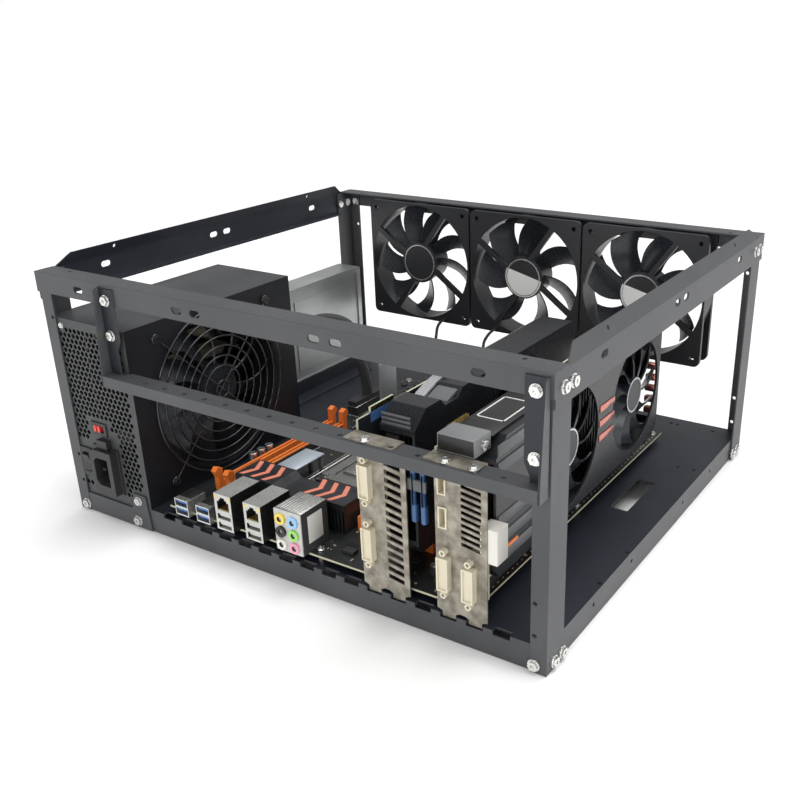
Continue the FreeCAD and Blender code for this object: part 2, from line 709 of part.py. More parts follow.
def make_psu_grill():
    """Concentric rings on four spokes, held by a loop at each corner."""
    wire = get("grill_wire") / 2
    ring_x = PSU_RIGHT + 2.6 * wire
    rings = []
    radius = get("psu_fan_open") + 3
    while radius > 12:
        rings.append(Part.makeTorus(radius, wire, vector(ring_x, PSU_FAN_Y, PSU_FAN_Z), X))
        radius -= 8.5
    spokes = []
    reach = get("psu_fan_side") * 0.62
    for turn in range(4):
        angle = math.radians(45 + 90 * turn)
        outward = vector(0, math.cos(angle), math.sin(angle))
        start = vector(PSU_RIGHT + wire, PSU_FAN_Y, PSU_FAN_Z)
        spokes.append(rod(wire, start, outward, reach - 3.5))
        loop = Part.makeTorus(3.4, wire, start + outward * reach, X)
        spokes.append(loop)
    centre = Part.makeTorus(7, wire, vector(ring_x, PSU_FAN_Y, PSU_FAN_Z), X)
    return rings[0].fuse(rings[1:] + spokes + [centre])


feature("psu_case", make_psu_case())
feature("psu_cover", make_psu_cover())
feature("psu_fan_grill", make_psu_grill())

# Fans: a square frame with a hub on struts, and a rotor whose shaft turns in the hub.
# They are drawn about the middle of the frame's front face, with the axis along Z, and then placed.


def fan_frame(side, thick, bore, hub, plain=False):
    half = side / 2
    flange = get("fan_flange")
    plate = block(-half, half, -half, half, 0, flange)
    corner_edges = [edge for edge in plate.Edges if abs(edge.tangentAt(edge.FirstParameter).z) > 0.9]
    plate = plate.makeFillet(side * 0.045, corner_edges)
    back_plate = plate.copy()
    back_plate.translate(vector(0, 0, thick - flange))
    duct = rod(half, vector(0, 0, 0), Z, thick)
    body = plate.fuse([back_plate, duct]).cut(rod(bore, vector(0, 0, -1), Z, thick + 2))
    hole = get("fan_hole_pitch") / get("fan_side") * side / 2
    holes = [rod(get("fan_hole"), vector(x, y, -1), Z, thick + 2)
             for x in (-hole, hole) for y in (-hole, hole)]
    body = body.cut(holes)
    struts = []
    for turn in range(4):
        strut = block(hub * 0.6, bore + 0.8, -side * 0.02, side * 0.02, 0, flange * 0.9)
        strut.rotate(vector(hub * 0.9, 0, 0), Z, 16)
        strut.rotate(vector(0, 0, 0), Z, 90 * turn + 20)
        struts.append(strut.common(rod(bore + 0.8, vector(0, 0, 0), Z, flange)))
    hub_plate = rod(hub + 1, vector(0, 0, 0), Z, flange * 0.9)
    bearing = rod(4.2, vector(0, 0, 0), Z, thick * 0.55)
    shaft_hole = rod(get("shaft_radius") + get("shaft_clearance"), vector(0, 0, 1.4), Z, thick)
    return body.fuse(struts + [hub_plate, bearing]).cut(shaft_hole)


def blade(hub, tip, low, high, chord, sweep, thick=1.3):
    """One blade from the hub's wall to the tip, twisted and swept."""
    sections = []
    middle = (low + high) / 2
    for step in range(5):
        share = step / 4.0
        radius = hub * 0.93 + (tip + 3 - hub * 0.93) * share
        angle = math.radians(sweep * share * share)
        outward = vector(math.cos(angle), math.sin(angle), 0)
        along = vector(-math.sin(angle), math.cos(angle), 0)
        pitch = math.radians(50 - 24 * share)
        half = min(chord * (0.75 + 0.4 * share), (high - low) / math.sin(pitch)) / 2 * 0.96
        run = along * math.cos(pitch) + Z * math.sin(pitch)
        square = run.cross(outward)
        centre = outward * radius + Z * middle
        corners = [centre + run * a * half + square * b * thick / 2
                   for a, b in ((-1, -1), (1, -1), (1, 1), (-1, 1))]
        sections.append(Part.makePolygon(corners + [corners[0]]))
    return Part.makeLoft(sections, True, False)


def fan_rotor(hub, tip, low, high, blades, chord, sweep, shaft_start):
    """The open side of the hub is at low, where it covers the bearing."""
    cup = rod(hub, vector(0, 0, low), Z, high - low).cut(rod(hub - 2.2, vector(0, 0, low), Z,
                                                             high - low - 2.5))
    shaft = rod(get("shaft_radius"), vector(0, 0, shaft_start), Z, high - shaft_start - 0.5)
    first = blade(hub, tip, low + 0.4, high - 0.4, chord, sweep)
    trimmed = first.common(rod(tip, vector(0, 0, low), Z, high - low))
    trimmed = trimmed.cut(rod(hub - 1.5, vector(0, 0, low), Z, high - low))
    vanes = []
    for index in range(blades):
        vane = trimmed.copy()
        vane.rotate(vector(0, 0, 0), Z, 360.0 / blades * index)
        vanes.append(vane)
    return cup.fuse([shaft] + vanes)


def placed(item, base, axis_from, axis_to, spin=0.0):
    turn = FreeCAD.Rotation(axis_from, axis_to)
    item.Placement = FreeCAD.Placement(base, turn.multiply(FreeCAD.Rotation(Z, spin)))
    return item


FAN_THICK = get("fan_thick")
FAN_FACE = REAR - SHEET - FAN_THICK
FAN_Z = TOP - SHEET - get("fan_drop") - get("fan_side") / 2
ROTOR_LOW = get("fan_flange") + 1.0
ROTOR_HIGH = FAN_THICK - 1.5

for index, blades in enumerate((9, 7, 7)):
    base = vector(get("fan_row_x") + (index - 1) * get("fan_pitch"), FAN_FACE, FAN_Z)
    frame = feature("case_fan_frame_%d" % (index + 1),
                    fan_frame(get("fan_side"), FAN_THICK, get("fan_bore"), get("fan_hub")))
    placed(frame, base, Z, Y)
    rotor = feature("case_fan_rotor_%d" % (index + 1),
                    fan_rotor(get("fan_hub"), get("fan_tip"), ROTOR_LOW, ROTOR_HIGH, blades, 205.0 / blades,
                              24, 2.0))
    placed(rotor, base, Z, Y, 11.0 * index)

PSU_FAN_FACE = PSU_RIGHT - PSU_SHEET
PSU_FAN_BACK = PSU_FAN_FACE - FAN_THICK
psu_frame = feature("psu_fan_frame", fan_frame(get("psu_fan_side"), FAN_THICK, get("psu_fan_open") - 1,
                                               get("fan_hub")))
placed(psu_frame, vector(PSU_FAN_BACK, PSU_FAN_Y, PSU_FAN_Z), Z, X)
psu_rotor = feature("psu_fan_rotor", fan_rotor(get("fan_hub"), get("psu_fan_open") - 2.4, ROTOR_LOW,
                                               ROTOR_HIGH, 11, 25,
                                               24, 2.0))
placed(psu_rotor, vector(PSU_FAN_BACK, PSU_FAN_Y, PSU_FAN_Z), Z, X)

# Inlet, rocker and selector on the front of the power supply


def cut_corner_outline(x, z, half_x, half_z, corner):
    """An outline in the X-Z plane with its two left corners cut."""
    return [(x - half_x + corner, z - half_z), (x + half_x, z - half_z), (x + half_x, z + half_z),
            (x - half_x + corner, z + half_z), (x - half_x, z + half_z - corner),
            (x - half_x, z - half_z + corner)]


def outline_prism(outline, y, depth):
    return prism([vector(x, y, z) for x, z in outline], Y * depth)


def make_inlet():
    flange = block(INLET_X - 15, INLET_X + 15, PSU_FRONT - 1.5, PSU_FRONT, INLET_Z - 20, INLET_Z + 20)
    sleeve = outline_prism(cut_corner_outline(INLET_X, INLET_Z, 13, 19, 5), PSU_FRONT - 8, 6.5)
    shell = outline_prism(cut_corner_outline(INLET_X, INLET_Z, 10.5, 15, 4), PSU_FRONT, 14)
    hood = block(INLET_X - 5, INLET_X + 7, PSU_FRONT - 5, PSU_FRONT, INLET_Z + 20, INLET_Z + 27)
    opening = outline_prism(cut_corner_outline(INLET_X, INLET_Z, 8.2, 12.3, 3.5), PSU_FRONT - 9, 20)
    pins = []
    for x, z in ((INLET_X - 3.5, INLET_Z), (INLET_X + 3, INLET_Z + 6.5), (INLET_X + 3, INLET_Z - 6.5)):
        pins.append(block(x - 2, x + 2, PSU_FRONT - 3, PSU_FRONT + 14, z - 1, z + 1))
    return flange.fuse([sleeve, shell, hood]).cut(opening).fuse(pins)


def make_rocker_parts():
    """The rocker turns on its own pin between the walls of the bezel."""
    bezel = block(ROCKER_X - 6.4, ROCKER_X + 6.4, PSU_FRONT - 1.5, PSU_FRONT, ROCKER_Z - 13, ROCKER_Z + 13)
    walls = block(ROCKER_X - 5.3, ROCKER_X + 5.3, PSU_FRONT, PSU_FRONT + 10, ROCKER_Z - 9.8, ROCKER_Z + 9.8)
    room = block(ROCKER_X - 4.3, ROCKER_X + 4.3, PSU_FRONT - 2, PSU_FRONT + 9, ROCKER_Z - 8.8, ROCKER_Z + 8.8)
    pin_hole = rod(1.05, vector(ROCKER_X - 6, PSU_FRONT + 3.5, ROCKER_Z), X, 12)
    housing = bezel.fuse(walls).cut([room, pin_hole])
    outline = [(-2.6, -7.2), (-1.6, 0), (-3.6, 7.2), (1.0, 7.2), (6.0, 2.2), (6.0, -2.2), (1.0, -7.2)]
    corners = [vector(ROCKER_X - 4.0, PSU_FRONT + y, ROCKER_Z + z) for y, z in outline]
    rocker = prism(corners, X * 8.0).fuse(rod(1.0, vector(ROCKER_X - 5.1, PSU_FRONT + 3.5, ROCKER_Z), X,
                                              10.2))
    return housing, rocker


def make_selector_parts():
    housing = block(SELECTOR_X - 8.7, SELECTOR_X + 8.7, PSU_FRONT - 1.2, PSU_FRONT, SELECTOR_Z - 5.5,
                    SELECTOR_Z + 5.5)
    shell = block(SELECTOR_X - 6.8, SELECTOR_X + 6.8, PSU_FRONT, PSU_FRONT + 7, SELECTOR_Z - 3.8,
                  SELECTOR_Z + 3.8)
    room = block(SELECTOR_X - 5.8, SELECTOR_X + 5.8, PSU_FRONT - 2, PSU_FRONT + 5, SELECTOR_Z - 2.8,
                 SELECTOR_Z + 2.8)
    slider = block(SELECTOR_X - 5.6, SELECTOR_X + 1.4, PSU_FRONT - 1.6, PSU_FRONT + 4.9, SELECTOR_Z - 2.7,
                   SELECTOR_Z + 2.7)
    groove = block(SELECTOR_X - 3.1, SELECTOR_X - 1.1, PSU_FRONT - 2, PSU_FRONT - 0.6, SELECTOR_Z - 3,
                   SELECTOR_Z + 3)
    return housing.fuse(shell).cut(room), slider.cut(groove)


rocker_housing, psu_rocker = make_rocker_parts()
selector_housing, psu_slider = make_selector_parts()
grommet = rod(8.0, vector(LOOM_X, PSU_BACK - 2, LOOM_Z), Y, 2)
grommet = grommet.fuse(rod(9.5, vector(LOOM_X, PSU_BACK, LOOM_Z), Y, 2.5))
feature("psu_mouldings", Part.makeCompound([make_inlet(), rocker_housing, selector_housing, grommet]))
feature("psu_rocker", psu_rocker)
feature("psu_voltage_slider", psu_slider)


def make_psu_board():
    """Circuit board along the left wall with its coils, capacitors and heat sinks."""
    board_x = PSU_LEFT + 6
    board = block(board_x, board_x + 1.6, PSU_FRONT + 24, PSU_BACK - 6, PSU_LOW + 8, PSU_TOP - 8)
    face = board_x + 1.6
    parts = []
    for y, z, wide, high, tall in ((60, 40, 34, 28, 30), (104, 46, 26, 26, 24), (140, 40, 20, 24, 22)):
        parts.append(block(face, face + tall, PSU_FRONT + y, PSU_FRONT + y + wide, PSU_LOW + z,
                           PSU_LOW + z + high))
    for z in (82, 116):
        parts.append(block(face, face + 34, PSU_FRONT + 40, PSU_FRONT + 160, PSU_LOW + z, PSU_LOW + z + 3))
    for y, z, radius in ((40, 28, 9), (40, 129.5, 9), (152, 128, 6), (136, 128, 6), (152, 102, 6),
                         (136, 102, 6)):
        parts.append(rod(radius, vector(face, PSU_FRONT + y, PSU_LOW + z), X, 26))
    for y in (30, 150):
        for z in (14, 136):
            parts.append(rod(3, vector(PSU_LEFT + PSU_SHEET, PSU_FRONT + y, PSU_LOW + z), X, 5))
    return Part.makeCompound([board, *parts])


feature("psu_circuit_board", make_psu_board())

# Main board, standing on spacers above the deck

BOARD_LEFT = get("board_left")
BOARD_RIGHT = BOARD_LEFT + get("board_width")
BOARD_FRONT = FRONT + get("board_front")
BOARD_BACK = BOARD_FRONT + get("board_depth")
BOARD_LOW = DECK + get("standoff")
BOARD_TOP = BOARD_LOW + get("board_thick")
SPACER_X = (BOARD_LEFT + 8, (BOARD_LEFT + BOARD_RIGHT) / 2 + 6, BOARD_RIGHT - 6)
SPACER_Y = (BOARD_FRONT + 8, BOARD_FRONT + 163, BOARD_BACK - 8)


def make_board_and_spacers():
    board = block(BOARD_LEFT, BOARD_RIGHT, BOARD_FRONT, BOARD_BACK, BOARD_LOW, BOARD_TOP)
    spacers = []
    screws = []
    holes = []
    for x in SPACER_X:
        for y in SPACER_Y:
            holes.append(rod(1.9, vector(x, y, BOARD_LOW - 1), Z, 4))
            spacer = hexagon(vector(x, y, DECK), 5.0, Z * get("standoff"), X, Y)
            spacers.append(spacer.cut(rod(1.6, vector(x, y, DECK), Z, get("standoff"))))
            screws.append(screw(vector(x, y, BOARD_TOP), Z * -1, get("board_thick") + 3.5, 1.6, 3.2, 2.0))
    return board.cut(holes), Part.makeCompound(spacers), screws


board_shape, spacer_shape, board_screws = make_board_and_spacers()
feature("main_board", board_shape)
feature("board_standoffs", spacer_shape)

PORT_FRONT = FRONT + 1.0
USB_X = (-103.5, -80.5)
NETWORK_X = (-58.7, -28.9)
AUDIO_X = 1.0


def make_usb():
    blocks = []
    for x in USB_X:
        shell = block(x, x + 14, PORT_FRONT, PORT_FRONT + 19, BOARD_TOP, BOARD_TOP + 14.2)
        for z in (1.2, 8.2):
            room = block(x + 0.7, x + 13.3, PORT_FRONT - 1, PORT_FRONT + 12, BOARD_TOP + z,
                         BOARD_TOP + z + 4.9)
            shell = shell.cut(room)
            tongue = block(x + 1.9, x + 12.1, PORT_FRONT + 1, PORT_FRONT + 12, BOARD_TOP + z + 2.6,
                           BOARD_TOP + z + 4.3)
            shell = shell.fuse(tongue)
        blocks.append(shell)
    return Part.makeCompound(blocks)


def make_network():
    blocks = []
    for x in NETWORK_X:
        shell = block(x, x + 17, PORT_FRONT, PORT_FRONT + 32, BOARD_TOP, BOARD_TOP + 30.5)
        for z in (1.6, 9.2):
            room = block(x + 2, x + 15, PORT_FRONT - 1, PORT_FRONT + 11, BOARD_TOP + z, BOARD_TOP + z + 4.6)
            shell = shell.cut(room)
            tongue = block(x + 3.2, x + 13.8, PORT_FRONT + 1, PORT_FRONT + 11, BOARD_TOP + z + 2.4,
                           BOARD_TOP + z + 4.0)
            shell = shell.fuse(tongue)
        wide = block(x + 2.6, x + 14.4, PORT_FRONT - 1, PORT_FRONT + 14, BOARD_TOP + 17, BOARD_TOP + 24.5)
        step = block(x + 4.5, x + 12.5, PORT_FRONT - 1, PORT_FRONT + 14, BOARD_TOP + 24, BOARD_TOP + 26.2)
        catch = block(x + 6.3, x + 10.7, PORT_FRONT - 1, PORT_FRONT + 14, BOARD_TOP + 26, BOARD_TOP + 28)
        blocks.append(shell.cut([wide, step, catch]))
    return Part.makeCompound(blocks)


JACKS = ((AUDIO_X + 6.5, 27.0), (AUDIO_X + 18.5, 27.0), (AUDIO_X + 6.5, 16.5), (AUDIO_X + 18.5, 16.5),
         (AUDIO_X + 6.5, 6.0), (AUDIO_X + 18.5, 6.0))


def make_audio():
    shell = block(AUDIO_X, AUDIO_X + 25, PORT_FRONT + 1.5, PORT_FRONT + 30, BOARD_TOP, BOARD_TOP + 34)
    rings = [rod(4.3, vector(x, PORT_FRONT - 1.5, BOARD_TOP + z), Y, 4) for x, z in JACKS]
    bores = [rod(2.1, vector(x, PORT_FRONT - 2, BOARD_TOP + z), Y, 16) for x, z in JACKS]
    return shell.fuse(rings).cut(bores)


feature("usb_ports", make_usb())
feature("network_ports", make_network())
feature("audio_ports", make_audio())


def make_heatsink():
    """Finned bar behind the ports, higher at both ends."""
    y_front = BOARD_FRONT + 34
    y_back = BOARD_FRONT + 63
    top = BOARD_TOP + 24
    middle = block(-78, 32, y_front, y_back, BOARD_TOP, top - 5)
    sections = [middle]
    for x_low, x_high, inner in ((-78, -34, 1), (-14, 32, -1)):
        ends = [(x_low, top - 5), (x_high, top - 5), (x_high - (5 if inner > 0 else 0), top),
                (x_low + (5 if inner < 0 else 0), top)]
        sections.append(prism([vector(x, y_front, z) for x, z in ends], Y * (y_back - y_front)))
    bar = sections[0].fuse(sections[1:])
    grooves = []
    for step in range(7):
        x = 31.5 - 3.4 * step
        grooves.append(block(x - 1.8, x, y_front - 1, y_front + 9, BOARD_TOP, top - 5))
    return bar.cut(grooves)


SOCKET_X = -44.0
SOCKET_Y = BOARD_FRONT + 90
LEVER_X = SOCKET_X - 2.5
LEVER_Y = SOCKET_Y + 73.5
LEVER_Z = BOARD_TOP + 4.0
LEVER_RADIUS = 1.1


def make_socket():
    """Socket with its frame, lid, processor and the ears that hold the lever."""
    base = block(SOCKET_X, SOCKET_X + 62, SOCKET_Y, SOCKET_Y + 70, BOARD_TOP, BOARD_TOP + 3.2)
    rim = block(SOCKET_X + 2, SOCKET_X + 60, SOCKET_Y + 2, SOCKET_Y + 68, BOARD_TOP + 3.2, BOARD_TOP + 5.4)
    rim = rim.cut(block(SOCKET_X + 11, SOCKET_X + 51, SOCKET_Y + 11, SOCKET_Y + 59, BOARD_TOP + 3.2,
                        BOARD_TOP + 6))
    chip = block(SOCKET_X + 12, SOCKET_X + 50, SOCKET_Y + 12, SOCKET_Y + 58, BOARD_TOP + 3.2, BOARD_TOP + 4.6)
    spread = block(SOCKET_X + 16, SOCKET_X + 46, SOCKET_Y + 17, SOCKET_Y + 53, BOARD_TOP + 4.6,
                   BOARD_TOP + 6.6)
    bolts = [rod(3.4, vector(SOCKET_X + x, SOCKET_Y + y, BOARD_TOP + 5.4), Z, 2.0)
             for x in (6, 56) for y in (6.5, 63.5)]
    ears = []
    for x in (SOCKET_X + 4, SOCKET_X + 20):
        ears.append(block(x - 1.5, x + 1.5, SOCKET_Y + 69, LEVER_Y + 2.6, BOARD_TOP, BOARD_TOP + 6.6))
    body = base.fuse([rim, chip, spread] + bolts + ears)
    return body.cut(rod(LEVER_RADIUS + get("shaft_clearance"), vector(SOCKET_X - 1, LEVER_Y, LEVER_Z), X, 30))


def make_lever():
    """A wire lever: its pin turns in the ears behind the socket, its arm lies beside it."""
    pin = rod(LEVER_RADIUS, vector(LEVER_X, LEVER_Y, LEVER_Z), X, 27.0)
    arm = rod(LEVER_RADIUS, vector(LEVER_X, LEVER_Y, LEVER_Z), Y * -1, 80.0)
    knee = Part.makeSphere(LEVER_RADIUS, vector(LEVER_X, LEVER_Y, LEVER_Z))
    loop = Part.makeTorus(3.0, LEVER_RADIUS, vector(LEVER_X + 2.4, LEVER_Y - 80.0, LEVER_Z), Z)
    return pin.fuse([arm, knee, loop])


feature("vrm_heatsink", make_heatsink())
feature("cpu_socket", make_socket())
feature("socket_lever", make_lever())

# Memory slots with a latch at each end, card slots, and the loose parts of the board

MEMORY_X = (-91.0, -104.0)
MEMORY_FRONT = BOARD_FRONT + 43
MEMORY_LENGTH = 141.0


def make_memory_slots():
    slots = []
    for x in MEMORY_X:
        body = block(x - 3.2, x + 3.2, MEMORY_FRONT, MEMORY_FRONT + MEMORY_LENGTH, BOARD_TOP, BOARD_TOP + 8)
        groove = block(x - 0.9, x + 0.9, MEMORY_FRONT - 1, MEMORY_FRONT + MEMORY_LENGTH + 1, BOARD_TOP + 3,
                       BOARD_TOP + 9)
        latches = []
        for end, way in ((MEMORY_FRONT, -1), (MEMORY_FRONT + MEMORY_LENGTH, 1)):
            outline = [(0, 0), (way * 5, 0), (way * 5, 12), (way * 8, 18), (way * 5, 21), (0, 19)]
            points = [vector(x - 2.6, end + y, BOARD_TOP + z) for y, z in outline]
            latches.append(prism(points, X * 5.2))
        slots.append(body.fuse(latches).cut(groove))
    return Part.makeCompound(slots)


feature("memory_slots", make_memory_slots())


def card_line(slot):
    """The x of the card's printed board for the slot with this number."""
    return get("first_hole_x") + slot * get("slot_pitch") - 15.0


CARD_A_X = card_line(get("card_a_slot"))
CARD_B_X = card_line(get("card_b_slot"))
CARD_THICK = 1.6
CONTACT_FRONT = BOARD_FRONT + 46
CONTACT_LENGTH = 86.0
CONTACT_TOP = BOARD_TOP + 11.5
SLOT_MIDDLES = (8, 10, 11, 13)


def make_card_slots():
    slots = []
    for index in SLOT_MIDDLES:
        middle = card_line(index) + CARD_THICK / 2
        body = block(middle - 3.7, middle + 3.7, CONTACT_FRONT - 1.5, CONTACT_FRONT + CONTACT_LENGTH + 1.5,
                     BOARD_TOP,
                     CONTACT_TOP)
        latch = block(middle - 2.2, middle + 2.2, CONTACT_FRONT + CONTACT_LENGTH + 1.5,
                      CONTACT_FRONT + CONTACT_LENGTH + 9, BOARD_TOP, BOARD_TOP + 6)
        hook = block(middle + 1.4, middle + 4.6, CONTACT_FRONT + CONTACT_LENGTH + 3,
                     CONTACT_FRONT + CONTACT_LENGTH + 9,
                     BOARD_TOP + 4, BOARD_TOP + 15)
        groove = block(middle - CARD_THICK / 2, middle + CARD_THICK / 2, CONTACT_FRONT,
                       CONTACT_FRONT + CONTACT_LENGTH,
                       BOARD_TOP + 3, CONTACT_TOP + 1)
        slots.append(body.cut(groove).fuse([latch, hook]))
    return Part.makeCompound(slots)


feature("card_slots", make_card_slots())

PLUG_X = BOARD_LEFT + 12
PLUG_Y = BOARD_FRONT + 246
PLUG_TOP = BOARD_TOP + 13
FAN_HEADERS = ((-60.0, 108.0), (14.0, 120.0), (56.0, 118.0))


def make_board_parts():
    """Capacitors, coils, sockets and headers, each soldered to the board."""
    parts = []
    for x, y, radius, tall in (
        (-113, -98, 3.6, 11), (-113, -88, 3.6, 11), (-113, -78, 3.6, 11), (-67, -8, 4.5, 12),
        (-80, 25, 3.2, 9), (-70, 25, 3.2, 9), (-60, 25, 3.2, 9), (29, -60, 4, 11), (29, -48, 4, 11),
        (58, -150, 3.2, 8), (66, -150, 3.2, 8), (120, -166, 3.2, 8), (40, 84, 4, 10), (52, 84, 4, 10),
        (124, 60, 3.5, 9), (100, 96, 3.5, 9), (148, 96, 3.5, 9), (29, -36, 4, 11), (58, -162, 3.2, 8),
    ):
        parts.append(rod(radius, vector(x, y, BOARD_TOP), Z, tall))
    for x, y, wide, deep, tall in (
        (-40, -16, 9, 9, 7), (-28, -16, 9, 9, 7), (-16, -16, 9, 9, 7), (-4, -16, 9, 9, 7),
        (8, -16, 9, 9, 7), (22, -104, 9, 9, 7), (22, -92, 9, 9, 7), (22, -80, 9, 9, 7),
        (70, 30, 34, 34, 4), (60, 70, 14, 14, 2), (-50, 40, 30, 30, 3), (-20, 60, 22, 8, 3),
        (-84, 60, 12, 12, 2), (129, -40, 5, 12, 7), (150, 22, 6, 30, 8), (150, -160, 5, 22, 6),
        (124, -174, 10, 10, 2), (46, -176, 10, 6, 3),
    ):
        parts.append(block(x, x + wide, y, y + deep, BOARD_TOP, BOARD_TOP + tall))
    parts.append(block(PLUG_X - 5.5, PLUG_X + 5.5, PLUG_Y - 26, PLUG_Y + 26, BOARD_TOP, BOARD_TOP + 8))
    for x, y in FAN_HEADERS:
        parts.append(block(x - 5, x + 5, y - 3, y + 3, BOARD_TOP, BOARD_TOP + 6))
    return Part.makeCompound(parts)


feature("board_parts", make_board_parts())

# Cards: a two-slot bracket, a printed board, cooling fins, a shroud and fans that face the right side

BRACKET_BACK = FRONT + 2 * SHEET + SHEET + get("bracket_sheet")
BRACKET_FACE = BRACKET_BACK - get("bracket_sheet")
BRACKET_LOW = get("shelf_height") - get("bracket_height")
BRACKET_TOP = get("shelf_height") + get("bracket_sheet")
BRACKET_WIDTH = get("slot_pitch") + get("bracket_slot")
HOLE_Y = BRACKET_FACE - get("shelf_hole_y")


def make_bracket(slot, openings):
    """openings are the outlines cut through the plate, as x from its left edge and z."""
    hole_x = get("first_hole_x") + slot * get("slot_pitch")
    left = hole_x - 15.4
    plate_low = BOARD_LOW - 3
    plate = block(left, left + BRACKET_WIDTH, BRACKET_FACE, BRACKET_BACK, plate_low, BRACKET_TOP)
    tongues = []
    for step in (0, 1):
        middle = hole_x - get("tongue_offset") + step * get("slot_pitch")
        outline = [(middle - 5.1, BRACKET_LOW), (middle + 5.1, BRACKET_LOW), (middle + 5.1, plate_low - 1.5),
                   (middle + 8, plate_low), (middle - 8, plate_low), (middle - 5.1, plate_low - 1.5)]
        tongues.append(prism([vector(x, BRACKET_FACE, z) for x, z in outline], Y * get("bracket_sheet")))
    tab = block(left, left + BRACKET_WIDTH, BRACKET_FACE - 12.5, BRACKET_FACE, get("shelf_height"),
                BRACKET_TOP)
    whole = plate.fuse(tongues + [tab])
    notches = [rod(1.9, vector(hole_x + step * get("slot_pitch"), HOLE_Y, BRACKET_TOP - 3), Z, 6)
               for step in (0, 1)]
    cuts = [prism([vector(left + x, BRACKET_FACE - 1, z) for x, z in outline], Y * 4) for outline in openings]
    return whole.cut(notches + cuts)


def slits(x_low, x_high, z_low, z_high, pitch, tall):
    """A column of slanted openings."""
    outlines = []
    z = z_low
    while z + tall < z_high:
        outlines.append([(x_low, z + 1.2), (x_high, z - 1.2), (x_high, z - 1.2 + tall),
                         (x_low, z + 1.2 + tall)])
        z += pitch
    return outlines


def socket_opening(x, z, wide, tall):
    return [(x - wide / 2, z - tall / 2), (x + wide / 2, z - tall / 2), (x + wide / 2, z + tall / 2),
            (x - wide / 2, z + tall / 2)]


DVI_TALL = 37.0
DVI_WIDE = 8.6
CARD_A_DVI = ((7.5, 103.5), (7.5, 56.0))
CARD_B_DVI = ((7.4, 52.0), (26.5, 49.0))
CARD_B_SMALL = ((5.8, 117.0, 6.4, 17.0), (6.0, 92.0, 6.4, 15.5))


def make_video_sockets():
    """Digital video sockets: a shell through the bracket, a block behind it and two studs each."""
    sockets = []
    for slot, places in ((get("card_a_slot"), CARD_A_DVI), (get("card_b_slot"), CARD_B_DVI)):
        left = get("first_hole_x") + slot * get("slot_pitch") - 15.4
        for x, z in places:
            x_middle = left + x
            shell = block(x_middle - DVI_WIDE / 2, x_middle + DVI_WIDE / 2, BRACKET_FACE - 5.5,
                          BRACKET_BACK + 14,
                          z - DVI_TALL / 2 + 6, z + DVI_TALL / 2 - 6)
            face = block(x_middle - DVI_WIDE / 2 - 0.8, x_middle + DVI_WIDE / 2 + 0.8, BRACKET_BACK,
                         BRACKET_BACK + 14,
                         z - DVI_TALL / 2, z + DVI_TALL / 2)
            studs = []
            for way in (-1, 1):
                stud_z = z + way * (DVI_TALL / 2 - 2.6)
                stud = hexagon(vector(x_middle, BRACKET_FACE, stud_z), 4.6, Y * -4.5, Z, X)
                studs.append(stud.cut(rod(1.2, vector(x_middle, BRACKET_FACE - 5, stud_z), Y, 5)))
                studs.append(rod(1.5, vector(x_middle, BRACKET_FACE, stud_z), Y, 2))
            mouth = block(x_middle - DVI_WIDE / 2 + 1.2, x_middle + DVI_WIDE / 2 - 1.2, BRACKET_FACE - 6,
                          BRACKET_FACE - 4, z - DVI_TALL / 2 + 7.2, z + DVI_TALL / 2 - 7.2)
            sockets.append(shell.fuse([face] + studs).cut(mouth))
    left = get("first_hole_x") + get("card_b_slot") * get("slot_pitch") - 15.4
    for x, z, wide, tall in CARD_B_SMALL:
        shell = block(left + x - wide / 2, left + x + wide / 2, BRACKET_FACE - 1.2, BRACKET_BACK + 12,
                      z - tall / 2,
                      z + tall / 2)
        mouth = block(left + x - wide / 2 + 1, left + x + wide / 2 - 1, BRACKET_FACE - 2, BRACKET_FACE + 9,
                      z - tall / 2 + 1, z + tall / 2 - 1)
        sockets.append(shell.cut(mouth))
    return Part.makeCompound(sockets)


def dvi_cuts(places):
    cuts = []
    for x, z in places:
        cuts.append(socket_opening(x, z, DVI_WIDE, DVI_TALL - 12))
        for way in (-1, 1):
            cuts.append(socket_opening(x, z + way * (DVI_TALL / 2 - 2.6), 3.0, 3.0))
    return cuts


card_a_cuts = dvi_cuts(CARD_A_DVI) + slits(21.5, 34.5, 31, 131, 6.1, 3.6)
card_b_cuts = dvi_cuts(CARD_B_DVI) + [socket_opening(*small) for small in CARD_B_SMALL]
card_b_cuts += slits(19.5, 34.5, 74, 131, 4.6, 2.6)
feature("card_a_bracket", make_bracket(get("card_a_slot"), card_a_cuts))
feature("card_b_bracket", make_bracket(get("card_b_slot"), card_b_cuts))
feature("video_sockets", make_video_sockets())


def make_card_board(x, length, top):
    """The printed board with its contact edge standing in the slot."""
    low = CONTACT_TOP + 1.5
    board = block(x, x + CARD_THICK, BRACKET_BACK, BRACKET_BACK + length, low, top)
    contact = block(x, x + CARD_THICK, CONTACT_FRONT + 0.5, CONTACT_FRONT + CONTACT_LENGTH - 0.5,
                    BOARD_TOP + 3, low)
    comb = block(x, x + CARD_THICK, BRACKET_BACK + 14, BRACKET_BACK + 40, top, top + 4)
    return board.fuse([contact, comb])


def card_fan_places(length, fans):
    """The y of each fan's axis on a card."""
    if fans == 1:
        return (BRACKET_BACK + length * 0.62,)
    return (BRACKET_BACK + 121.5, BRACKET_BACK + 239.5)


CARD_FAN_Z = 98.0
CARD_FAN_OPEN = get("card_fan_open")
CARD_FAN_TIP = get("card_fan_tip")
CARD_FAN_HUB = get("card_fan_hub")
FIN_LOW = 52.0
SHROUD_DEEP = 34.0


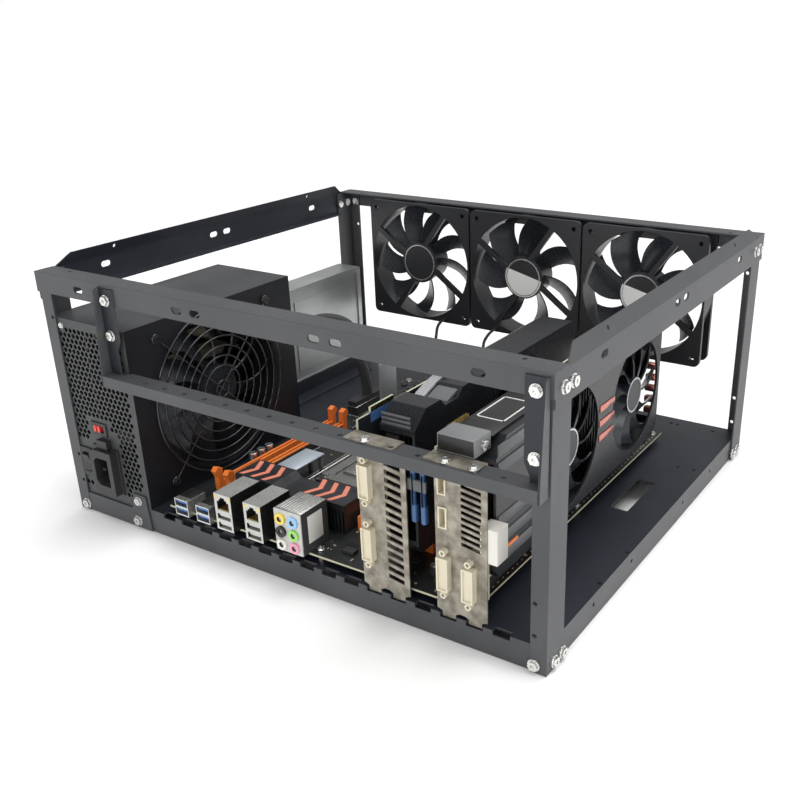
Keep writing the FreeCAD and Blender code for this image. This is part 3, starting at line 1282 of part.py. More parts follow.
def make_shroud(x, length, low, top, fans, waists):
    """A shell over the fins, open towards the board, with a round opening for each fan."""
    inner = x + CARD_THICK + 6
    outer = x + CARD_THICK + SHROUD_DEEP
    start = BRACKET_BACK + 15
    end = BRACKET_BACK + length - 7
    outline = [(start + 4, low), (end - 10, low), (end, low + 10), (end, top - 8), (end - 6, top),
               (start + 14, top),
               (start, top - 12), (start, low + 6)]
    for middle, depth in waists:
        spot = [index for index, (y, z) in enumerate(outline) if z == top][0]
        outline[spot + 1:spot + 1] = [(middle + 14, top), (middle + 8, top - depth),
                                      (middle - 8, top - depth),
                                      (middle - 14, top)]
    shell = prism([vector(inner, y, z) for y, z in outline], X * (outer - inner))
    room = block(inner - 1, outer - 2, start + 2, end - 2, low + 8, top - 12)
    sides = [block(inner - 1, outer - 2, start - 1, start + 6, low + 10, top - 16),
             block(inner - 1, outer - 2, end - 6, end + 1, low + 14, top - 14)]
    cuts = [room] + sides
    for y in card_fan_places(length, fans):
        cuts.append(rod(CARD_FAN_OPEN, vector(inner - 1, y, CARD_FAN_Z), X, outer - inner + 2))
    legs = []
    for y, z in ((start + 24, low + 4), (end - 20, low + 4), (start + 24, top - 9), (end - 20, top - 9)):
        legs.append(rod(2.0, vector(x + CARD_THICK, y, z), X, inner - x - CARD_THICK + 3))
    return shell.cut(cuts).fuse(legs)


def make_fins(x, length, top, fans):
    """A block of fins with pipes in it and a bearing for each fan."""
    low_x = x + CARD_THICK + 8.5
    high_x = x + CARD_THICK + 19
    start = BRACKET_BACK + 18
    end = BRACKET_BACK + length - 16
    base = block(x + CARD_THICK, low_x, start + 50, end - 70, FIN_LOW + 14, top - 26)
    fin_block = block(low_x, high_x, start, end, FIN_LOW + 10, top - 14)
    cuts = []
    y = start + 3.0
    while y < end - 3:
        cuts.append(block(low_x + 4, high_x + 1, y, y + 3.0, FIN_LOW + 9, top - 13))
        y += 4.6
    whole = fin_block.cut(Part.makeCompound(cuts)).fuse(base)
    rods = []
    for z in (FIN_LOW + 22, FIN_LOW + 36, FIN_LOW + 50):
        rods.append(rod(3.0, vector(low_x + 5, start, z), Y, end - start))
    hubs = []
    holes = []
    for y in card_fan_places(length, fans):
        hubs.append(rod(4.2, vector(low_x, y, CARD_FAN_Z), X, 19.5))
        holes.append(rod(get("shaft_radius") + get("shaft_clearance"), vector(low_x + 2.5, y, CARD_FAN_Z), X,
                         20))
    return whole.fuse(rods + hubs).cut(holes)


def make_card_rotor(x, y, blades):
    rotor = fan_rotor(CARD_FAN_HUB, CARD_FAN_TIP, 0.0, 10.5, blades, 21, 26, -9.0)
    return rotor, vector(x + CARD_THICK + SHROUD_DEEP - 12.0, y, CARD_FAN_Z)


for name, slot, length, top, fans in (
    ("card_a", get("card_a_slot"), get("card_a_length"), get("card_a_top"), 1),
    ("card_b", get("card_b_slot"), get("card_b_length"), get("card_b_top"), 2),
):
    line = card_line(slot)
    feature(name + "_board", make_card_board(line, length, top))
    waists = [(BRACKET_BACK + 60, 6)] if fans == 1 else [(BRACKET_BACK + 180, 7)]
    feature(name + "_shroud", make_shroud(line, length, 46.0, top + 5, fans, waists))
    feature(name + "_heatsink", make_fins(line, length, top, fans))
    for order, y in enumerate(card_fan_places(length, fans)):
        label = name + "_fan_rotor" + ("_%d" % (order + 1) if fans > 1 else "")
        shape, base = make_card_rotor(line, y, 11)
        placed(feature(label, shape), base, Z, X, 7.0 * order)

# Drive on its long edge, held by an angle on the deck

DRIVE_RIGHT = get("drive_right")
DRIVE_LEFT = DRIVE_RIGHT - get("drive_thick")
DRIVE_LOW = get("drive_base")
DRIVE_TOP = DRIVE_LOW + get("drive_height")
DRIVE_BACK = get("drive_rear")
DRIVE_FRONT = DRIVE_BACK - get("drive_length")


def make_drive():
    whole = block(DRIVE_LEFT, DRIVE_RIGHT, DRIVE_FRONT, DRIVE_BACK, DRIVE_LOW, DRIVE_TOP)
    rim_edges = [edge for edge in whole.Edges if abs(edge.tangentAt(edge.FirstParameter).x) > 0.9]
    whole = whole.makeFillet(3.0, rim_edges)
    recess = block(DRIVE_RIGHT - 1.2, DRIVE_RIGHT + 1, DRIVE_FRONT + 6, DRIVE_BACK - 6, DRIVE_LOW + 6,
                   DRIVE_TOP - 6)
    raised = block(DRIVE_RIGHT - 1.2, DRIVE_RIGHT - 0.4, DRIVE_FRONT + 40, DRIVE_BACK - 16, DRIVE_LOW + 14,
                   DRIVE_TOP - 14)
    plug = block(DRIVE_LEFT + 4, DRIVE_LEFT + 12, DRIVE_FRONT - 1, DRIVE_FRONT + 8, DRIVE_LOW + 10,
                 DRIVE_LOW + 52)
    return whole.cut([recess, plug]).fuse(raised)


def make_drive_bracket():
    """An angle: one leg on the deck, the other below and behind the drive."""
    wall_x = DRIVE_RIGHT
    upright = block(wall_x, wall_x + 1.2, DRIVE_FRONT + 12, DRIVE_BACK - 12, DECK, DRIVE_LOW + 5)
    foot = block(wall_x + 1.2, wall_x + 18, DRIVE_FRONT + 12, DRIVE_BACK - 12, DECK, DECK + 1.2)
    seat = block(DRIVE_LEFT + 2, wall_x, DRIVE_FRONT + 12, DRIVE_BACK - 12, DRIVE_LOW - 1.2, DRIVE_LOW)
    return upright.fuse([foot, seat])


feature("hard_drive", make_drive())
feature("drive_bracket", make_drive_bracket())

# Small screws: cards, power supply and board; long screws: fans


def make_small_screws():
    screws = list(board_screws)
    for slot in (get("card_a_slot"), get("card_b_slot"), get("card_b_slot") + 1):
        x = get("first_hole_x") + slot * get("slot_pitch")
        screws.append(screw(vector(x, HOLE_Y, BRACKET_TOP), Z * -1, 5.0, 1.75, 3.9, 2.4))
    screws.append(screw(vector(PSU_RIGHT - 12, FRONT + SHEET, DECK + 5.5), Y, 6.5, 1.6, 3.9, 2.4))
    screws.append(screw(vector(PSU_SCREW_X, PSU_FRONT, PSU_SCREW_Z), Y, 4.0, 1.3, 2.4, 1.2))
    return Part.makeCompound(screws)


def make_fan_screws():
    screws = []
    reach = get("fan_hole_pitch") / 2
    for index in (-1, 0, 1):
        for way in (-1, 1):
            x = get("fan_row_x") + index * get("fan_pitch") + way * reach
            screws.append(screw(vector(x, REAR, FAN_Z + reach), Y * -1, 9.0, 2.0, 3.8, 2.2))
    for y in (-PSU_FAN_REACH, PSU_FAN_REACH):
        for z in (-PSU_FAN_REACH, PSU_FAN_REACH):
            screws.append(screw(vector(PSU_RIGHT + 1.6, PSU_FAN_Y + y, PSU_FAN_Z + z), X * -1, 9.0, 1.9, 3.8,
                                1.6))
    return Part.makeCompound(screws)


feature("small_screws", make_small_screws())
feature("fan_screws", make_fan_screws())

# Cords: straight runs joined by arcs


def cord(name, points, radius):
    """A round tube along the points; every bend is as wide as its two runs allow."""
    edges = []
    start = points[0]
    for before, corner, after in zip(points, points[1:], points[2:]):
        incoming = corner - before
        outgoing = after - corner
        shorter = min(incoming.Length, outgoing.Length)
        turn = incoming.getAngle(outgoing)
        cut = 0.45 * shorter
        bend = cut / math.tan(turn / 2)
        incoming.normalize()
        outgoing.normalize()
        arc_start = corner - incoming * cut
        arc_end = corner + outgoing * cut
        towards = outgoing - incoming
        towards.normalize()
        middle = corner + towards * (bend / math.cos(turn / 2) - bend)
        edges.append(Part.LineSegment(start, arc_start).toShape())
        edges.append(Part.Arc(arc_start, middle, arc_end).toShape())
        start = arc_end
        print(name, "bend radius %.1f, turn %.0f degrees" % (bend, math.degrees(turn)))
    edges.append(Part.LineSegment(start, points[-1]).toShape())
    path = Part.Wire(edges)
    direction = points[1] - points[0]
    ring = Part.Wire(Part.Circle(points[0], direction, radius).toShape())
    tube = path.makePipeShell([ring], True, False)
    volume = math.pi * radius * radius * path.Length
    print(name, "length %.0f, volume is %.4f of section times length" % (path.Length, tube.Volume / volume))
    return tube


LOOM_START = vector(LOOM_X, PSU_BACK + 2.5, LOOM_Z)
loom_route = [
    LOOM_START,
    LOOM_START + vector(0, 28, 0),
    LOOM_START + vector(14, 54, 8),
    LOOM_START + vector(34, 72, -2),
    vector(PLUG_X - 6, PLUG_Y - 6, LOOM_Z - 24),
    vector(PLUG_X, PLUG_Y, PLUG_TOP + 16),
    vector(PLUG_X, PLUG_Y, PLUG_TOP),
]
feature("power_loom", cord("power_loom", loom_route, 5.0))
feature("loom_plug", block(PLUG_X - 5, PLUG_X + 5, PLUG_Y - 25, PLUG_Y + 25, BOARD_TOP + 8, PLUG_TOP))


def make_fan_leads():
    """From the lower inner corner of each fan down to its header on the board."""
    leads = []
    for order, (x, y) in enumerate(FAN_HEADERS):
        fan_x = get("fan_row_x") + (order - 1) * get("fan_pitch")
        side = 1 if order == 0 else -1
        start = vector(fan_x + side * 30, FAN_FACE, FAN_Z - 56)
        end = vector(x, y, BOARD_TOP + 6)
        drop = start.z - end.z
        route = [
            start,
            start + vector(0, -14, 0),
            start + vector(side * 4, -24, -14),
            vector((start.x * 2 + x) / 3, (start.y - 24 + y) / 2 + 4, end.z + drop * 0.38),
            vector(x, y, end.z + 16),
            end,
        ]
        leads.append(cord("fan_lead_%d" % (order + 1), route, 1.5))
    return Part.makeCompound(leads)


feature("fan_leads", make_fan_leads())

# The whole part moves so that the middle of its outline stands at the origin

SHIFT = vector(0, get("origin_shift"), 0)
for item in PARTS:
    place = item.Placement
    item.Placement = FreeCAD.Placement(place.Base + SHIFT, place.Rotation)
doc.recompute()

troubled = [item.Label for item in doc.Objects if "Invalid" in item.State or "Error" in item.State]
troubled += [item.Label for item in PARTS if item.Shape.isNull() or not item.Shape.isValid()]
if troubled:
    raise RuntimeError("not sound: " + ", ".join(troubled))
os.makedirs("parts", exist_ok=True)
for item in PARTS:
    item.Shape.exportStep("parts/%s.step" % item.Label)
print(len(PARTS), "parts written")
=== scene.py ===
# %% [markdown]
# # A filled open-frame computer
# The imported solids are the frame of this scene: every sheet, screw, fan and card stands where they say.

# %% Load the frame
import math
import random

import json
import bpy
import bmesh
from mathutils import Matrix, Vector

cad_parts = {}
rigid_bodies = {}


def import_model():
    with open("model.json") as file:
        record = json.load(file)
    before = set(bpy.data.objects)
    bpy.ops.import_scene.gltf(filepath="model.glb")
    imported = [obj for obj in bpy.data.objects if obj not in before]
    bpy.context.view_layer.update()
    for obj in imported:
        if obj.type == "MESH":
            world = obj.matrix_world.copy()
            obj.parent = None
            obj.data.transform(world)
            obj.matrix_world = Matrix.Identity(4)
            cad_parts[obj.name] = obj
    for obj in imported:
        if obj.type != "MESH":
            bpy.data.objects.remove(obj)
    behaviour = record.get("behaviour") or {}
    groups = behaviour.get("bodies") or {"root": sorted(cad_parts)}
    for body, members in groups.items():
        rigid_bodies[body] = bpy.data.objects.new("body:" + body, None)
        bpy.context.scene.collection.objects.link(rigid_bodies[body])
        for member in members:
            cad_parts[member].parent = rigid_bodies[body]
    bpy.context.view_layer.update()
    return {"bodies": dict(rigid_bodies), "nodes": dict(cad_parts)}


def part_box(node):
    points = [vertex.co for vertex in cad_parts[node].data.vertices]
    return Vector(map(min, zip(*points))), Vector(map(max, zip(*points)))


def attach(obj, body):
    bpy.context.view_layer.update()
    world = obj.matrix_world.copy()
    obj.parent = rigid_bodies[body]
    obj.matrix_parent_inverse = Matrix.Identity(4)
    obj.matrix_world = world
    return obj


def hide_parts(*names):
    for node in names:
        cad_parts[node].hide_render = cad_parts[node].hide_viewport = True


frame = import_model()
nodes = frame["nodes"]

# %% [markdown]
# ## Camera
# The photograph looks down on the right front corner from a little above.
# A place, three turns and a lens give the same view, and the shift frames it as the photograph is framed.

# %% Camera
SHIFT_Y = 0.00385
camera_data = bpy.data.cameras.new("camera")
camera_data.sensor_width = 36.0
camera_data.lens = 43.83
camera_data.shift_x = -0.0796
camera_data.shift_y = 0.0372
camera = bpy.data.objects.new("camera", camera_data)
bpy.context.scene.collection.objects.link(camera)
yaw = 0.564
pitch = 0.418
roll = -0.015
ahead = Vector((-math.sin(yaw) * math.cos(pitch), math.cos(yaw) * math.cos(pitch), -math.sin(pitch)))
right = ahead.cross(Vector((0, 0, 1))).normalized()
up = right.cross(ahead)
right_rolled = right * math.cos(roll) + up * math.sin(roll)
up_rolled = up * math.cos(roll) - right * math.sin(roll)
turn = Matrix((right_rolled, up_rolled, -ahead)).transposed().to_4x4()
camera.matrix_world = Matrix.Translation((0.4486, -0.6448 + SHIFT_Y, 0.3945)) @ turn
bpy.context.scene.camera = camera
print("camera at", [round(v, 3) for v in camera.location])

# %% [markdown]
# ## Floor and light
# A product photograph is taken on white paper under large soft lamps.
# Area lamps above and in front give the sheet metal its pale top faces and its darker fronts.

# %% Floor and light
world = bpy.data.worlds.new("studio")
world.use_nodes = True
world.node_tree.nodes["Background"].inputs["Color"].default_value = (1.0, 1.0, 1.0, 1.0)
sky_place = world.node_tree.nodes.new("ShaderNodeTexCoord")
sky_parts = world.node_tree.nodes.new("ShaderNodeSeparateXYZ")
sky_range = world.node_tree.nodes.new("ShaderNodeMapRange")
sky_range.inputs["From Min"].default_value = 0.015
sky_range.inputs["From Max"].default_value = 0.05
sky_range.inputs["To Min"].default_value = 1.0
sky_range.inputs["To Max"].default_value = 0.42
world.node_tree.links.new(sky_place.outputs["Generated"], sky_parts.inputs["Vector"])
world.node_tree.links.new(sky_parts.outputs["Z"], sky_range.inputs["Value"])
world.node_tree.links.new(sky_range.outputs["Result"], world.node_tree.nodes["Background"].inputs["Strength"])
bpy.context.scene.world = world
bpy.context.scene.view_settings.view_transform = "Standard"


def soft_lamp(name, place, aim, size, power):
    data = bpy.data.lights.new(name, "AREA")
    data.shape = "RECTANGLE"
    data.size = size[0]
    data.size_y = size[1]
    data.energy = power
    lamp = bpy.data.objects.new(name, data)
    lamp.location = place
    lamp.rotation_mode = "QUATERNION"
    lamp.rotation_quaternion = (Vector(aim) - Vector(place)).to_track_quat("-Z", "Y")
    bpy.context.scene.collection.objects.link(lamp)
    return lamp


sky_data = bpy.data.lights.new("overhead_light", "SUN")
sky_data.energy = 2.6
sky_data.angle = math.radians(55)
sky = bpy.data.objects.new("overhead_light", sky_data)
sky.rotation_euler = (math.radians(-14), math.radians(8), 0)
bpy.context.scene.collection.objects.link(sky)
soft_lamp("front_lamp", (0.2, -2.0, 0.9), (0, 0, 0.1), (1.4, 0.8), 16)
soft_lamp("right_lamp", (2.0, -0.3, 0.8), (0, 0, 0.1), (1.2, 0.8), 10)

floor_form = bmesh.new()
bmesh.ops.create_grid(floor_form, x_segments=1, y_segments=1, size=150.0)
floor_mesh = bpy.data.meshes.new("floor")
floor_form.to_mesh(floor_mesh)
floor_form.free()
floor = bpy.data.objects.new("floor", floor_mesh)
floor.location.z = -0.0004
bpy.context.scene.collection.objects.link(floor)
paper = bpy.data.materials.new("studio_paper")
paper.use_nodes = True
paper_tree = paper.node_tree
paper_shader = paper_tree.nodes["Principled BSDF"]
paper_noise = paper_tree.nodes.new("ShaderNodeTexNoise")
paper_noise.inputs["Scale"].default_value = 3.0
paper_ramp = paper_tree.nodes.new("ShaderNodeValToRGB")
paper_ramp.color_ramp.elements[0].color = (0.9, 0.9, 0.9, 1)
paper_ramp.color_ramp.elements[1].color = (0.95, 0.95, 0.95, 1)
paper_tree.links.new(paper_noise.outputs["Fac"], paper_ramp.inputs["Fac"])
paper_tree.links.new(paper_ramp.outputs["Color"], paper_shader.inputs["Base Color"])
paper_shader.inputs["Roughness"].default_value = 0.9
floor_mesh.materials.append(paper)

# %% [markdown]
# ## Finishes
# Nearly everything here is coated, moulded or plated, so one recipe serves: a base colour that drifts
# a little, a roughness that drifts with it, and a fine grain in the surface.
# The drift is large and soft, the grain is small, and both come from noise on the object's own coordinates.

# %% The recipe for a finish


def mixed(tree, factor, first, second):
    """The result socket of a colour mix."""
    mix = tree.nodes.new("ShaderNodeMix")
    mix.data_type = "RGBA"
    for socket, value in ((mix.inputs[0], factor), (mix.inputs[6], first), (mix.inputs[7], second)):
        if isinstance(value, bpy.types.NodeSocket):
            tree.links.new(value, socket)
        elif isinstance(value, tuple):
            socket.default_value = (*value, 1.0)
        else:
            socket.default_value = value
    return mix.outputs[2]


def ranged(tree, value, low, high, new_low, new_high):
    """The value moved from one range to another."""
    node = tree.nodes.new("ShaderNodeMapRange")
    tree.links.new(value, node.inputs["Value"])
    node.inputs["From Min"].default_value = low
    node.inputs["From Max"].default_value = high
    node.inputs["To Min"].default_value = new_low
    node.inputs["To Max"].default_value = new_high
    return node.outputs["Result"]


def noise(tree, scale, detail=2.0, stretch=None):
    """Noise on the object's coordinates, stretched along an axis where the finish is brushed."""
    place = tree.nodes.new("ShaderNodeTexCoord")
    texture = tree.nodes.new("ShaderNodeTexNoise")
    texture.inputs["Scale"].default_value = scale
    texture.inputs["Detail"].default_value = detail
    source = place.outputs["Object"]
    if stretch:
        mapping = tree.nodes.new("ShaderNodeMapping")
        mapping.inputs["Scale"].default_value = stretch
        tree.links.new(source, mapping.inputs["Vector"])
        source = mapping.outputs["Vector"]
    tree.links.new(source, texture.inputs["Vector"])
    return texture.outputs["Fac"]


def finish(name, colour, second, rough, metal=0.0, grain=1600.0, depth=0.00004, drift=14.0, edge=0.0,
           coat=0.0, stretch=None, specular=0.5):
    """A finish whose colour drifts between two tones, with a fine grain and softened edges."""
    material = bpy.data.materials.new(name)
    material.use_nodes = True
    tree = material.node_tree
    shader = tree.nodes["Principled BSDF"]
    large = noise(tree, drift, 3.0, stretch)
    spread = ranged(tree, large, 0.35, 0.65, 0.0, 1.0)
    tree.links.new(mixed(tree, spread, colour, second), shader.inputs["Base Color"])
    small = noise(tree, grain, 1.0, stretch)
    tree.links.new(ranged(tree, small, 0.3, 0.7, rough[0], rough[1]), shader.inputs["Roughness"])
    bump = tree.nodes.new("ShaderNodeBump")
    bump.inputs["Strength"].default_value = 0.6
    bump.inputs["Distance"].default_value = depth
    tree.links.new(small, bump.inputs["Height"])
    if edge:
        soften = tree.nodes.new("ShaderNodeBevel")
        soften.samples = 4
        soften.inputs["Radius"].default_value = edge
        tree.links.new(soften.outputs["Normal"], bump.inputs["Normal"])
    tree.links.new(bump.outputs["Normal"], shader.inputs["Normal"])
    shader.inputs["Metallic"].default_value = metal
    shader.inputs["Specular IOR Level"].default_value = specular
    if coat:
        shader.inputs["Coat Weight"].default_value = coat
        shader.inputs["Coat Roughness"].default_value = 0.12
    material.diffuse_color = (*colour, 1.0)
    return material


powder_coat = finish("powder_coat", (0.052, 0.054, 0.058), (0.064, 0.066, 0.070), (0.42, 0.54), grain=1900,
                     depth=0.00006, edge=0.0006)
# The frame's powder coat darkened to a deep blue-black: painted shade for the left rail's inner side and the drive
# bracket.
painted_shade_powder_coat = finish("powder_coat_painted_shade", (0.011, 0.014, 0.021), (0.016, 0.020, 0.028), (0.40, 0.52), grain=1900,
                   depth=0.00006, edge=0.0006)
supply_coat = finish("supply_coat", (0.040, 0.042, 0.044), (0.052, 0.054, 0.056), (0.42, 0.55), grain=1500,
                     depth=0.00006, edge=0.0004)
nickel = finish("nickel_plate", (0.72, 0.72, 0.70), (0.82, 0.82, 0.80), (0.18, 0.32), metal=1.0, grain=900,
                depth=0.00002, edge=0.0003)
dark_screws = finish("black_oxide", (0.02, 0.02, 0.021), (0.05, 0.05, 0.052), (0.3, 0.45), metal=0.4,
                     edge=0.0003)
black_wire = finish("black_wire", (0.010, 0.010, 0.012), (0.018, 0.018, 0.021), (0.12, 0.2), coat=0.6,
                    drift=40)
fan_plastic = finish("fan_plastic", (0.012, 0.013, 0.015), (0.020, 0.021, 0.024), (0.33, 0.46), grain=1200,
                     edge=0.0005)
blade_plastic = finish("blade_plastic", (0.014, 0.016, 0.020), (0.026, 0.029, 0.036), (0.22, 0.34), grain=800,
                       depth=0.00002)
socket_plastic = finish("socket_plastic", (0.018, 0.018, 0.019), (0.030, 0.030, 0.031), (0.4, 0.55),
                        edge=0.0004)
red_plastic = finish("red_plastic", (0.62, 0.03, 0.02), (0.72, 0.06, 0.04), (0.28, 0.4), coat=0.3,
                     edge=0.0002)
orange_plastic = finish("orange_plastic", (0.72, 0.16, 0.025), (0.82, 0.22, 0.04), (0.35, 0.5), edge=0.0003)
cream_plastic = finish("cream_plastic", (0.66, 0.60, 0.44), (0.74, 0.69, 0.54), (0.4, 0.55), edge=0.0004)
audio_plastic = finish("audio_plastic", (0.03, 0.03, 0.032), (0.05, 0.05, 0.052), (0.4, 0.5), edge=0.0003)
fin_metal = finish("dark_anodised", (0.035, 0.036, 0.038), (0.055, 0.056, 0.06), (0.3, 0.42), metal=0.6,
                   edge=0.0003, stretch=(1, 8, 1))
socket_metal = finish("pressed_steel", (0.42, 0.42, 0.41), (0.55, 0.55, 0.53), (0.26, 0.4), metal=1.0,
                      edge=0.0003)
bracket_metal = finish("warm_nickel", (0.20, 0.18, 0.145), (0.40, 0.37, 0.31), (0.36, 0.56), metal=0.55,
                       grain=420, depth=0.00008, drift=120, edge=0.0003)
shroud_plastic = finish("shroud_plastic", (0.010, 0.011, 0.013), (0.017, 0.018, 0.021), (0.24, 0.36),
                        edge=0.0006)
drive_metal = finish("cast_metal", (0.42, 0.43, 0.43), (0.55, 0.56, 0.56), (0.34, 0.5), metal=0.85, grain=700,
                     edge=0.0004)
cable_cover = finish("cable_cover", (0.012, 0.012, 0.013), (0.022, 0.022, 0.024), (0.5, 0.7), grain=900,
                     depth=0.0001)
print("finishes:", len(bpy.data.materials))

# %% [markdown]
# ## Printed boards
# A board is a dark lacquer over copper, so fine lines of copper show through as slightly lighter tracks.
# Its cut edge is the bare pale laminate. The normal tells the cut edge from the face.

# %% The board finish


def board_finish(name, lacquer, track, face_axis):
    """Lacquer with faint tracks on the faces across face_axis, and pale laminate on the cut edges."""
    material = bpy.data.materials.new(name)
    material.use_nodes = True
    tree = material.node_tree
    shader = tree.nodes["Principled BSDF"]
    place = tree.nodes.new("ShaderNodeTexCoord")
    cells = tree.nodes.new("ShaderNodeTexVoronoi")
    cells.feature = "F1"
    cells.distance = "CHEBYCHEV"
    cells.inputs["Scale"].default_value = 85.0
    tree.links.new(place.outputs["Object"], cells.inputs["Vector"])
    lines = tree.nodes.new("ShaderNodeTexWave")
    lines.bands_direction = "DIAGONAL"
    lines.inputs["Scale"].default_value = 260.0
    lines.inputs["Distortion"].default_value = 1.2
    lines.inputs["Detail"].default_value = 1.0
    tree.links.new(place.outputs["Object"], lines.inputs["Vector"])
    share = ranged(tree, lines.outputs["Fac"], 0.62, 0.8, 0.0, 0.55)
    face = mixed(tree, share, lacquer, track)
    parts = tree.nodes.new("ShaderNodeSeparateXYZ")
    tree.links.new(place.outputs["Normal"], parts.inputs["Vector"])
    size = tree.nodes.new("ShaderNodeMath")
    size.operation = "ABSOLUTE"
    tree.links.new(parts.outputs[face_axis], size.inputs[0])
    on_face = ranged(tree, size.outputs["Value"], 0.4, 0.6, 0.0, 1.0)
    tree.links.new(mixed(tree, on_face, (0.52, 0.50, 0.36), face), shader.inputs["Base Color"])
    tree.links.new(ranged(tree, cells.outputs["Distance"], 0.0, 0.6, 0.28, 0.42), shader.inputs["Roughness"])
    return material


board_lacquer = board_finish("board_lacquer", (0.010, 0.012, 0.012), (0.035, 0.038, 0.034), 2)
card_lacquer = board_finish("card_lacquer", (0.010, 0.012, 0.016), (0.028, 0.032, 0.036), 0)

# %% [markdown]
# ## The socket shells
# The network sockets have a bright pressed front and lid, but black plastic sides.
# One part of the normal tells the sides from the rest, so one finish does both.
# The same recipe paints shade: the tray is darkened on its level faces and the supply's cover on its side, and the
# hangers are painted dark with paler faces along X as painted shade and painted light.

# %% Shell finish
shell_metal = finish("socket_shell", (0.62, 0.62, 0.60), (0.74, 0.74, 0.71), (0.24, 0.38), metal=0.9,
                     grain=800, edge=0.0002)


def two_way_finish(name, plain, across, axis, rough, metal=0.0):
    """One colour on most faces, and another on the faces that look along an axis."""
    material = bpy.data.materials.new(name)
    material.use_nodes = True
    tree = material.node_tree
    shader = tree.nodes["Principled BSDF"]
    place = tree.nodes.new("ShaderNodeTexCoord")
    parts = tree.nodes.new("ShaderNodeSeparateXYZ")
    tree.links.new(place.outputs["Normal"], parts.inputs["Vector"])
    size = tree.nodes.new("ShaderNodeMath")
    size.operation = "ABSOLUTE"
    tree.links.new(parts.outputs[axis], size.inputs[0])
    along = ranged(tree, size.outputs["Value"], 0.4, 0.6, 0.0, 1.0)
    drift = ranged(tree, noise(tree, 40.0, 3.0), 0.35, 0.65, 0.0, 1.0)
    first = mixed(tree, drift, plain, tuple(0.85 * v for v in plain))
    second = mixed(tree, drift, across, tuple(0.75 * v for v in across))
    tree.links.new(mixed(tree, along, first, second), shader.inputs["Base Color"])
    tree.links.new(ranged(tree, along, 0.0, 1.0, metal, 0.0), shader.inputs["Metallic"])
    grain = noise(tree, 1600.0, 1.0)
    tree.links.new(ranged(tree, grain, 0.3, 0.7, rough[0], rough[1]), shader.inputs["Roughness"])
    bump = tree.nodes.new("ShaderNodeBump")
    bump.inputs["Strength"].default_value = 0.5
    bump.inputs["Distance"].default_value = 0.00005
    tree.links.new(grain, bump.inputs["Height"])
    tree.links.new(bump.outputs["Normal"], shader.inputs["Normal"])
    material.diffuse_color = (*plain, 1.0)
    return material


network_shell = two_way_finish("network_shell", (0.62, 0.62, 0.59), (0.012, 0.012, 0.012), "X", (0.25, 0.4),
                               0.6)
# The tray: painted shade, a deep blue-black on its level faces and the powder grey elsewhere.
tray_painted_shade = two_way_finish("tray_painted_shade", (0.055, 0.057, 0.061), (0.009, 0.012, 0.020), "Z", (0.36, 0.48))
# The supply's cover: painted shade, near black on the side faces that look along X.
cover_painted_shade = two_way_finish("cover_painted_shade", (0.060, 0.062, 0.065), (0.006, 0.007, 0.010), "X", (0.40, 0.52))
# The card rail's hangers: painted shade, near black on most faces, and painted light, a paler grey on the faces that
# look along X.
hanger_painted_light_and_shade = two_way_finish("hanger_painted_light_and_shade", (0.010, 0.013, 0.019), (0.085, 0.088, 0.094), "X", (0.42, 0.54))

# %% Give each node its finish
FINISH_OF = {
    # painted shade on the tray's level faces
    tray_painted_shade: ["base_tray"],
    powder_coat: ["front_left_post", "front_right_post", "rear_left_post", "rear_right_post",
                  "front_top_rail", "rear_top_rail", "right_side_rail", "psu_retainer", "card_rail"],
    # painted shade: the left side rail and the drive bracket take the darkened copy of the powder coat
    painted_shade_powder_coat: ["left_side_rail", "drive_bracket"],
    # painted shade on the hangers' faces, with painted light on their faces along X
    hanger_painted_light_and_shade: ["card_rail_left_hanger", "card_rail_right_hanger"],
    nickel: ["frame_screws", "frame_nuts", "small_screws", "board_standoffs", "socket_lever"],
    dark_screws: ["fan_screws"],
    supply_coat: ["psu_case"],
    # painted shade on the cover's side faces
    cover_painted_shade: ["psu_cover"],
    black_wire: ["psu_fan_grill"],
    fan_plastic: ["case_fan_frame_1", "case_fan_frame_2", "case_fan_frame_3", "psu_fan_frame"],
    blade_plastic: ["case_fan_rotor_1", "case_fan_rotor_2", "case_fan_rotor_3", "psu_fan_rotor",
                    "card_a_fan_rotor", "card_b_fan_rotor_1", "card_b_fan_rotor_2"],
    socket_plastic: ["psu_mouldings", "psu_rocker", "loom_plug"],
    red_plastic: ["psu_voltage_slider"],
    board_lacquer: ["main_board"],
    card_lacquer: ["card_a_board", "card_b_board", "psu_circuit_board"],
    shell_metal: ["usb_ports"],
    network_shell: ["network_ports"],
    audio_plastic: ["audio_ports"],
    fin_metal: ["vrm_heatsink", "card_a_heatsink", "card_b_heatsink"],
    socket_metal: ["cpu_socket"],
    orange_plastic: ["memory_slots", "card_slots"],
    bracket_metal: ["card_a_bracket", "card_b_bracket"],
    cream_plastic: ["video_sockets"],
    shroud_plastic: ["card_a_shroud", "card_b_shroud"],
    drive_metal: ["hard_drive"],
    cable_cover: ["power_loom", "fan_leads"],
}
for material, names in FINISH_OF.items():
    for name in names:
        mesh = nodes[name].data
        mesh.materials.clear()
        mesh.materials.append(material)
print("dressed", sum(len(names) for names in FINISH_OF.values()), "nodes")

# %% [markdown]
# ## Copies with rounded edges
# Folded sheet and moulded plastic never end in a sharp line: a fold has a radius of about the sheet's
# thickness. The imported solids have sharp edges, so the pieces nearest to the eye are shown by a merged copy
# of their mesh with a small bevel. Flat triangles are joined first, so the bevel meets only real edges.

# %% A copy of a node with rounded edges


